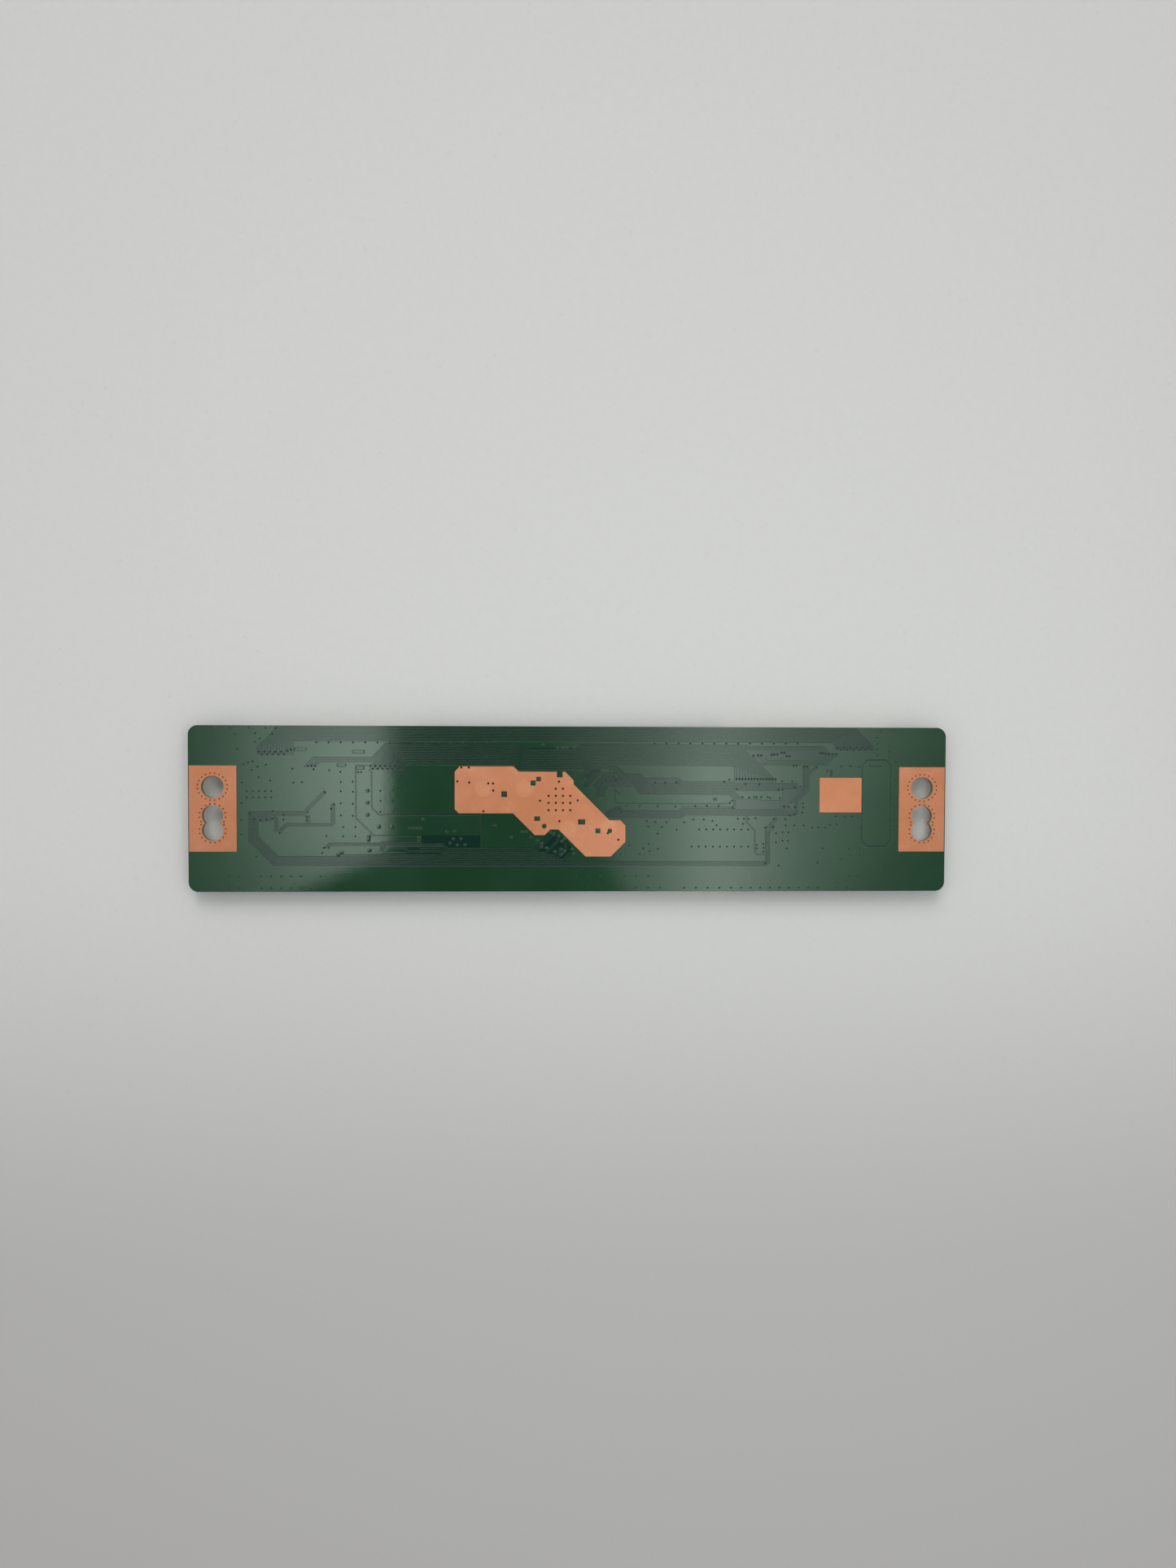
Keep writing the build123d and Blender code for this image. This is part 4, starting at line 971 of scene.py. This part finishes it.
    def right_places(self) -> list[Point]:
        """Plain holes of the right half."""
        places = [
            (36.4, 2.6), (37.8, 2.5), (38.9, 2.6), (39.4, 2.6), (40.4, 2.6), (41.8, 2.6),
            (42.3, 2.4), (44.4, 2.4), (44.1, 4.15), (44.95, 4.2), (47.6, 4.7), (48.7, 4.85),
            (44.85, 5.95), (47.0, 5.95), (42.6, 11.6), (43.1, 11.7), (43.8, 11.7), (44.7, 12.1),
            (45.3, 12.05), (45.8, 11.35), (46.4, 11.35), (38.65, 11.4), (39.65, 11.5),
            (40.3, 11.45), (53.0, 12.0), (53.5, 12.0), (54.0, 11.9), (54.75, 11.8), (55.6, 11.8),
            (56.4, 11.8), (47.3, 9.3), (47.9, 9.3), (49.5, 9.1), (50.2, 9.1), (52.3, 9.0),
            (57.5, 9.2), (59.5, 9.2), (61.4, 9.1), (45.3, 0.6), (46.3, 0.6), (47.6, 0.5),
            (47.6, -1.1), (46.5, -1.3), (49.3, 1.3), (49.4, 0.4), (49.2, -0.7), (45.55, -2.1),
            (45.7, -3.4), (47.55, -3.4), (49.5, -3.4), (51.4, -3.9), (52.7, -3.85),
            (54.1, -3.85), (55.2, -3.3), (56.6, -3.2), (56.4, -1.5), (58.3, -1.5), (59.9, -1.5),
            (61.1, -1.7), (61.6, -4.0), (61.6, -8.35), (61.6, -9.7), (61.3, -14.2),
            (65.5, -14.2), (43.1, -2.0), (41.3, -3.9), (43.0, -3.8), (43.65, -5.15),
            (45.0, -4.9), (46.25, -4.9), (43.65, -7.0), (45.0, -6.65), (46.2, -6.7),
            (45.95, -8.3), (53.6, -8.3), (52.6, -11.4), (44.25, -12.0), (41.4, -11.5),
            (57.5, -10.6), (59.3, -8.4), (59.6, -9.7), (59.4, -14.2), (39.5, -7.6),
            (39.5, -8.3), (40.95, -7.35), (40.95, -8.2), (40.95, -9.0), (65.9, 16.7),
            (67.9, 13.4), (67.8, 12.3), (67.9, 11.2), (69.2, 10.2), (73.6, 12.6), (69.2, 6.5),
            (69.1, 5.0), (69.4, 2.6), (69.2, 0.4), (69.0, -1.2), (69.2, -3.4), (69.1, -4.4),
            (69.4, -7.0), (69.0, -16.7)]
        places += column(65.2, (15.3, 14.0, 12.8, 11.6)) + row(63.75, 9.3, 4, 0.72)
        return places + row(36.2, -16.7, 9, 2.06) + row(56.8, -16.7, 5, 2.08)

    def fan_places(self) -> list[Point]:
        """Holes at the ends of the fanned tracks of the two upper buses."""
        left = [(-58.7, 12.4), (-59.45, 12.15)] + [
            (-60.15 - 0.572 * index, 11.4 + 0.55 * (index % 2)) for index in range(10)]
        right = [(56.75 + 0.655 * index, 13.2 - 0.5 * (index % 2)) for index in range(12)]
        middle = row(-42.2, 9.05, 7, 1.03) + row(-41.7, 8.4, 7, 1.03)
        return left + right + middle + row(35.1, 6.45, 14, 0.64)

    def cleared_places(self) -> list[Point]:
        """Holes that a ring of bare laminate parts from the copper round them."""
        return [
            (-42.8, 3.85), (-42.8, 1.3), (-42.8, -1.25), (-40.4, -3.75), (-37.7, -3.8),
            (-42.5, -5.8), (-42.6, -6.5), (-42.4, -8.7), (30.55, 2.15), (-55.2, -1.7),
            (-55.2, -2.4), (-48.9, -9.6), (-48.2, -9.2), (54.4, 8.2), (55.1, 8.1), (55.1, 7.4)]

    def rimmed_places(self) -> list[Point]:
        """Holes with a raised rim, most of them in the dark places with no copper."""
        return row(-33.9, -4.1, 4, 0.77) + [
            (-31.2, -2.2), (-26.2, -4.85), (-24.6, -4.7), (-16.2, -3.5), (-12.7, -6.0),
            (-10.4, -4.8), (-9.6, -4.8), (-8.6, -6.0), (-7.2, -6.65), (-24.8, -6.35),
            (-23.2, -6.3), (-25.5, -7.2), (-24.0, -7.6), (-22.4, -7.55), (-32.0, -6.1),
            (-32.0, -6.7), (-6.3, -7.3), (-6.3, -8.0), (-5.2, -8.25), (-3.5, -9.0),
            (-2.15, -8.5), (-2.2, -9.6), (-4.5, -4.95), (-3.75, -5.3), (-2.7, -5.75),
            (-2.0, -6.8), (-1.5, -6.3), (-1.55, -8.95), (0.15, -8.5), (0.4, -9.45),
            (-3.0, 13.0), (-2.0, 13.0), (-1.4, 12.9), (-0.9, 13.0), (0.45, 13.05), (-6.0, 13.6)]

    def land_places(self) -> list[Point]:
        """Holes in the middle land, most of them in a grid under the controller's heat pad."""
        grid = [place for y in (2.8, 1.3, -0.25) for place in row(-4.8, y, 4, 1.53)]
        return grid + [
            (-3.3, 4.3), (-1.75, 4.3), (-23.15, 8.75), (-21.6, 8.75), (-24.0, 5.8),
            (-21.5, 5.6), (-17.5, 5.4), (-16.5, 5.4), (-16.45, 3.9), (-18.5, -0.5), (-6.6, 1.75),
            (-2.6, 5.8), (-2.5, -2.55), (1.35, 1.85), (10.0, -6.5), (7.75, -5.1)]

    def hole_rings(self) -> list[Point]:
        """Small holes in the end lands, round the round hole and the figure-eight."""
        places = []
        for side in (-1, 1):
            x = side * self.end_x
            places += arc((x, 4.6), (3.1, 2.85), 9.0, 351.0, 20)
            places += arc((x, -1.45), (2.72, 2.5), -30.0, 210.0, 12)
            places += arc((x, -4.62), (2.72, 2.52), 150.0, 390.0, 12)
        return places

    def build(self, taken: Array, islands: Array) -> None:
        """Make all the spots of both sides.

        Args:
            taken: boxes of what is mounted below, as low and high corners in millimetres.
            islands: middles of the small islands of mask in the lands, two to a row.
        """
        plain = np.array(
            self.left_places() + self.middle_places() + self.right_places() + self.fan_places())
        rimmed = np.concatenate([np.array(self.rimmed_places()), islands])
        back = finish_of("green_coat", self.back_face, shell=True)
        front = finish_of("green_coat", shell=True)
        copper = finish_of("bare_copper", shell=True)
        for name, spot, places in (
                ("covered_holes", self.covered, plain),
                ("cleared_holes", self.cleared, np.array(self.cleared_places())),
                ("rimmed_holes", self.rimmed, rimmed)):
            seat(spot.build(name, places, self.back_face, Side.BACK), "green_coat", back)
        for index, (x, y, half) in enumerate(self.pills):
            oval = self.pill.build(
                f"oval_clearance_{index}", np.array([(x, y)]), self.back_face, Side.BACK, half)
            seat(oval, "green_coat", back)
        for name, spot, places in (
                ("land_holes", self.in_land, self.land_places()),
                ("end_land_holes", self.round_land, self.hole_rings())):
            made = spot.build(name, np.array(places), self.land_face, Side.BACK)
            seat(made, "bare_copper", copper)
        free = plain[self.clear_of(plain, taken)]
        under = self.covered.build("front_holes", free, self.front_face, Side.FRONT)
        seat(under, "green_coat", front)

    def clear_of(self, places: Array, taken: Array) -> Array:
        """Say which places lie outside every box, with room to spare."""
        low, high = taken[:, 0, :2] - self.room, taken[:, 1, :2] + self.room
        inside = (places[:, None] > low) & (places[:, None] < high)
        return ~inside.all(axis=2).any(axis=1)


@dataclass(frozen=True)
class SolderJoints:
    """Solder drawn up round the feet of the parts, on pads a little wider than they are."""

    face: float = 2.5
    pad_rise: float = 0.02
    corner_points: int = 3
    highest: float = 0.6
    climbs: tuple[float, ...] = (0.0, 0.0, 0.35, 0.7, 1.0)
    offsets: tuple[float, ...] = (1.0, 0.93, 0.42, 0.12, 0.02)

    def build(self, name: str, solids: Solids, reach: float, share: float) -> None:
        """Make the solder of one kind of part.

        Round each foot runs a rounded rectangle. Its offset falls faster than its climb rises,
        so that the solder hollows up from the pad to the metal.

        Args:
            name: the piece's name.
            solids: the metal ends or leads of the parts.
            reach: how far the pad stands out, in millimetres.
            share: how far up the metal the solder climbs, of its height.
        """
        climb = np.array(self.climbs)
        tall = np.minimum((solids.high - solids.low)[:, 2] / MM * share, self.highest)
        rise = self.pad_rise + climb[None] * tall[:, None]
        rise[:, 0] = 0.0
        turn = np.radians(np.linspace(0.0, 90.0, self.corner_points))
        quarters = np.arange(4)[:, None] * math.pi / 2 + turn
        corner_x, corner_y = np.array([1, 0, 0, 1]), np.array([1, 1, 0, 0])
        low, high = solids.foot_low / MM, solids.foot_high / MM
        base_x = np.where(corner_x, high[:, :1], low[:, :1])
        base_y = np.where(corner_y, high[:, 1:2], low[:, 1:2])
        out = reach * np.array(self.offsets)[:, None, None]
        x = base_x[:, None, :, None] + out * np.cos(quarters)
        y = base_y[:, None, :, None] + out * np.sin(quarters)
        z = self.face - rise[:, :, None, None] + 0 * x
        rings = np.stack([x, y, z], axis=-1).reshape(len(low), len(climb), -1, 3) * MM
        seat(stacked_rings(name, rings), "tin")


@dataclass(frozen=True)
class SocketContacts:
    """Spring fingers inside the mouths of the flat cable sockets."""

    width: float = 0.2
    thickness: float = 0.12
    depth: float = 0.78
    drop: float = 0.28
    rear_gap: float = 0.6
    mouth_clearance: float = 0.45
    straight_share: float = 0.375
    steps: int = 7

    def build(self, name: str, contacts: Solids, housing: tuple[Triple, Triple], mouth: Edge,
              face: float) -> None:
        """Make the fingers of one socket, one for each contact.

        Each finger is a strip along Y whose middle line hangs by the depth below the board.
        After its straight share it dips by the drop in a half sine towards the mouth, where the
        cable presses on it.

        Args:
            name: the piece's name.
            contacts: the contacts of the socket.
            housing: low and high corner of its housing, in metres.
            mouth: the edge that the mouth opens to.
            face: height of the board's face over the socket, in millimetres.
        """
        middle = (contacts.low[:, 0] + contacts.high[:, 0]) / 2 / MM
        low, high = housing[0][1] / MM, housing[1][1] / MM
        rear, front = (low, high) if mouth is Edge.UPPER else (high, low)
        part = np.linspace(0.0, 1.0, self.steps)
        start = rear + mouth.value * self.rear_gap
        y = start + (front - mouth.value * self.mouth_clearance - start) * part
        bent = np.clip((part - self.straight_share) / (1 - self.straight_share), 0.0, 1.0)
        z = face - self.depth - self.drop * np.sin(math.pi * bent)
        half_x, half_z = self.width / 2, self.thickness / 2
        corner_x = np.array([-half_x, half_x, half_x, -half_x])
        corner_z = np.array([-half_z, -half_z, half_z, half_z])
        x = middle[:, None, None] + corner_x + 0 * part[None, :, None]
        rings = np.stack(np.broadcast_arrays(
            x, y[None, :, None], z[None, :, None] + corner_z), axis=-1) * MM
        seat(stacked_rings(name, rings, smooth=False), "tin")


@dataclass(frozen=True)
class PrintedOutlines:
    """White outlines printed round the larger parts on the component side."""

    line: float = 0.15
    rise: float = 0.012
    sink: float = 0.01
    room: float = 0.2
    face: float = 2.5

    def build(self, boxes: Array) -> None:
        """Make one closed line round each box.

        The line's small square section is carried round a rectangle, whose corners it meets
        on the diagonal.

        Args:
            boxes: low and high corners of the parts, in millimetres.
        """
        outer = self.room + self.line
        grow = np.array([self.room, outer, outer, self.room])
        level = self.face + np.array([self.sink, self.sink, -self.rise, -self.rise])
        sign = np.array([(-1, -1), (1, -1), (1, 1), (-1, 1)])
        base = np.where(sign[None] > 0, boxes[:, 1:, :2], boxes[:, :1, :2])
        place = base[:, :, None] + sign[:, None] * grow[:, None]
        height = np.broadcast_to(level[:, None], place.shape[:-1] + (1,))
        section = np.concatenate([place, height], axis=-1) * MM
        faces = quads_of(len(boxes), len(sign), len(grow), looped=True).tolist()
        piece = closed_piece("printed_outlines", section, faces, smooth=False)
        seat(piece, "green_coat", Ink("white_ink").material())


@dataclass(frozen=True)
class Board:
    """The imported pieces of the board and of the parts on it, dressed in their finishes.

    Each row of joints gives a soldered node, how far its solder stands out in millimetres and
    what share of the metal's height it climbs. Pieces of the back coat that are narrower than
    island_width are islands. A printed line takes in what has its middle within lead_room of
    the part, so that the leads lie inside it too. Both are in millimetres.
    """

    nodes: Mapping[str, bpy.types.Object]
    slots: Mapping[str, str]
    face: float
    island_width: float = 4.0
    lead_room: float = 1.3
    masked: tuple[str, ...] = (
        "back_coat", "upper_tracks", "middle_tracks", "lower_tracks", "right_tracks",
        "power_tracks")
    joints: tuple[tuple[str, float, float], ...] = (
        ("small_capacitor_ends", 0.30, 0.55), ("resistor_ends", 0.28, 0.7),
        ("large_capacitor_ends", 0.40, 0.5), ("fuse_ends", 0.40, 0.55),
        ("resistor_array_ends", 0.16, 0.7), ("inductor_terminals", 0.30, 0.6),
        ("diode_terminals", 0.35, 0.35), ("transistor_leads", 0.18, 0.25),
        ("controller_leads", 0.10, 0.12), ("reference_buffer_leads", 0.12, 0.2),
        ("memory_leads", 0.16, 0.15), ("regulator_leads", 0.35, 0.3),
        ("regulator_tab", 0.55, 0.5), ("left_socket_contacts", 0.07, 0.6),
        ("right_socket_contacts", 0.07, 0.6), ("input_socket_contacts", 0.07, 0.6),
        ("left_socket_tabs", 0.35, 0.25), ("right_socket_tabs", 0.35, 0.25))
    outlined: tuple[str, ...] = (
        "controller_body", "reference_buffer_body", "memory_body", "power_chip_body",
        "level_shifter_body", "inductor_blocks", "regulator_body", "fuse_body",
        "resistor_array_bodies")

    @classmethod
    def of(cls, frame: Mapping[str, object]) -> "Board":
        """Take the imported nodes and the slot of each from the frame."""
        slots = {part["node"]: part["material_slot"] for part in frame["record"]["subparts"]}
        return cls(frame["nodes"], slots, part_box("front_coat")[0][2])

    def dress(self) -> None:
        """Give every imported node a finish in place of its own."""
        for name, node in self.nodes.items():
            level = PlatedHoles.back_face if name in self.masked else 0.0
            finish = finish_of(self.slots[name], level)
            node.data.materials.clear()
            node.data.materials.append(finish)
            log.info("%s: %s", name, finish.name)

    def mounted(self) -> Array:
        """Boxes of all that hangs below the board, in millimetres."""
        on_board = ("laminate", "front_coat", "front_lands", *self.masked)
        boxes = []
        for name in sorted(self.nodes):
            if name in on_board or name.endswith("land"):
                continue
            solids = Solids.of(self.nodes[name], self.face)
            boxes.append(np.stack([solids.low, solids.high], axis=1))
        return np.concatenate(boxes) / MM

    def islands(self) -> Array:
        """Middles of the small separate pieces of mask inside the lands, in millimetres."""
        coat = Solids.of(self.nodes["back_coat"], self.face)
        small = (coat.high - coat.low)[:, 0] < self.island_width * MM
        return (coat.low + coat.high)[small, :2] / 2 / MM

    def solder(self) -> None:
        """Put solder round the feet of every soldered part."""
        joint = SolderJoints(self.face / MM)
        for name, reach, share in self.joints:
            joint.build(f"{name}_solder", Solids.of(self.nodes[name], self.face), reach, share)

    def fingers(self) -> None:
        """Put spring fingers into the three sockets."""
        for name, mouth in (("left", Edge.UPPER), ("right", Edge.UPPER), ("input", Edge.LOWER)):
            contacts = Solids.of(self.nodes[f"{name}_socket_contacts"], self.face)
            SocketContacts().build(
                f"{name}_socket_fingers", contacts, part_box(f"{name}_socket_housing"), mouth,
                self.face / MM)

    def outlines(self) -> None:
        """Print white lines round the larger parts."""
        everything = self.mounted()
        middle = everything.mean(axis=1)
        boxes = []
        for name in self.outlined:
            solids = Solids.of(self.nodes[name], self.face)
            for low, high in zip(solids.low / MM, solids.high / MM):
                inside = (middle > low - self.lead_room) & (middle < high + self.lead_room)
                own = everything[inside[:, :2].all(axis=1)]
                boxes.append([own[:, 0].min(axis=0), own[:, 1].max(axis=0)])
        PrintedOutlines(face=self.face / MM).build(np.array(boxes))


@dataclass(frozen=True)
class SoftLight:
    """Area lamp whose light falls off from its middle as a bell curve, with cut sides.

    Places and sizes are in millimetres, in the lamp's own level plane. A cut is a point on its
    line, the way that turns to the lit side, and half the width of its soft edge. No two lamps
    hang at one height, because the renderer takes only the first of two level ones.
    """

    name: str
    middle: Point
    spread: Point
    radiance: float
    height: float
    size: Point = (320.0, 360.0)
    colour: Colour = (0.85, 1.0, 0.90)
    cuts: tuple[tuple[Point, Point, float], ...] = ()

    def build(self) -> None:
        """Make the lamp, facing down.

        The strength is the radiance times e to minus half the squared distance from the
        middle, in spreads, and times a smooth step over each cut.
        """
        lamp = bpy.data.lights.new(self.name, "AREA")
        lamp.shape = "RECTANGLE"
        lamp.size, lamp.size_y = self.size[0] * MM, self.size[1] * MM
        # With this power the strength of the node below is the radiance
        lamp.energy = 4 * lamp.size * lamp.size_y
        lamp.use_nodes = True
        lamp.node_tree.nodes.clear()
        graph = Graph(lamp.node_tree)
        spot = graph.add("NewGeometry").outputs["Parametric"]
        axes = graph.add("SeparateXYZ", {0: spot}).outputs
        place = [
            graph.math("MULTIPLY_ADD", axes[k], self.size[k], -self.size[k] / 2)
            for k in range(2)]
        squares = [
            graph.math("POWER", graph.math("DIVIDE", place[k], self.spread[k]), 2.0)
            for k in range(2)]
        bell = graph.math("EXPONENT", graph.times(graph.math("ADD", *squares), -0.5))
        for (x, y), way, edge in self.cuts:
            along = graph.total(0.0, *zip(place, way))
            start = (x - self.middle[0]) * way[0] + (y - self.middle[1]) * way[1]
            bell = graph.times(bell, graph.span(along, start - edge, start + edge))
        glow = graph.add("Emission", {
            "Color": self.colour, "Strength": graph.times(bell, self.radiance)})
        graph.add("OutputLight", {"Surface": glow.outputs[0]})
        made = placed(self.name, lamp)
        made.location = (self.middle[0] * MM, self.middle[1] * MM, self.height * MM)
        made.visible_camera = False


@dataclass(frozen=True)
class Studio:
    """Pale sheet, soft lamps, pale surroundings and the camera over the board.

    The camera's place is in millimetres, other lengths are in metres and turns in degrees. The
    walls end and the ceiling starts at a share of straight up.
    """

    camera_place: Triple = (-6.1, 12.79, 252.87)
    camera_turn: Triple = (-1.726, -2.21, 0.18)
    lens: float = 27.05
    clip: Point = (0.01, 20.0)
    floor_reach: float = 3.0
    key_size: float = 0.8
    key_power: float = 9.0
    key_place: Triple = (-0.15, 1.0, 1.05)
    key_turn: Triple = (-43.6, 0.0, -8.5)
    sky_colour: Colour = (1.0, 1.0, 0.985)
    wall_light: float = 0.66
    ceiling_light: float = 0.03
    wall_end: float = 0.78
    ceiling_start: float = 0.94
    lamps: tuple[SoftLight, ...] = (
        SoftLight("left_glow", (-74.0, 8.0), (38.0, 54.0), 3.55, 252.0, cuts=(
            ((-71.0, 0.0), (-1.0, 0.0), 4.0), ((-73.0, -31.0), (-0.42, 0.907), 4.0))),
        SoftLight("right_glow", (72.0, -6.0), (38.0, 90.0), 1.9, 253.0, cuts=(
            ((8.0, 0.0), (0.922, 0.387), 8.0),)),
        SoftLight("right_core", (69.0, -6.0), (14.0, 90.0), 1.35, 254.0),
        SoftLight("corner_glow", (132.0, 24.0), (32.0, 30.0), 0.5, 255.0))

    def build(self) -> None:
        """Set up the whole studio."""
        self.floor()
        for lamp in self.lamps:
            lamp.build()
        self.key_light()
        self.surroundings()
        self.camera()

    def floor(self) -> None:
        """Level sheet that the board stands on."""
        reach = self.floor_reach
        mesh = bpy.data.meshes.new("pale_sheet")
        mesh.from_pydata(
            [(-reach, -reach, 0), (reach, -reach, 0), (reach, reach, 0), (-reach, reach, 0)],
            [], [(0, 1, 2, 3)])
        mesh.materials.append(PaleSheet("pale_sheet").material())
        placed("pale_sheet", mesh)

    def key_light(self) -> None:
        """Large soft lamp behind the board, leaning over it from outside its reflections."""
        lamp = bpy.data.lights.new("key", "AREA")
        lamp.shape = "SQUARE"
        lamp.size = self.key_size
        lamp.energy = self.key_power
        made = placed("key", lamp)
        made.location = self.key_place
        made.rotation_euler = [math.radians(turn) for turn in self.key_turn]
        made.visible_camera = False

    def surroundings(self) -> None:
        """Pale walls round the studio under a darker ceiling."""
        world = bpy.data.worlds.new("studio")
        bpy.context.scene.world = world
        world.use_nodes = True
        world.node_tree.nodes.clear()
        graph = Graph(world.node_tree)
        way = graph.add("TexCoord").outputs["Generated"]
        up = graph.add("SeparateXYZ", {0: way}).outputs[2]
        light = graph.span(
            up, self.wall_end, self.ceiling_start, self.wall_light, self.ceiling_light)
        sky = graph.add("Background", {"Color": self.sky_colour, "Strength": light})
        graph.add("OutputWorld", {"Surface": sky.outputs[0]})

    def camera(self) -> None:
        """Camera where the photograph was taken from."""
        view = bpy.data.cameras.new("camera")
        view.sensor_fit = "AUTO"
        view.sensor_width = 36.0
        view.lens = self.lens
        view.clip_start, view.clip_end = self.clip
        made = placed("camera", view)
        made.location = [part * MM for part in self.camera_place]
        made.rotation_euler = [math.radians(turn) for turn in self.camera_turn]
        bpy.context.scene.camera = made


def main() -> None:
    """Build the studio, dress the board and add its fine details."""
    logging.basicConfig(level=logging.INFO, format="%(name)s %(message)s")
    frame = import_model()
    bpy.context.scene.view_settings.view_transform = "Standard"
    Studio().build()
    board = Board.of(frame)
    board.dress()
    board.solder()
    board.fingers()
    board.outlines()
    PlatedHoles().build(board.mounted(), board.islands())


if __name__ == "__main__":
    main()
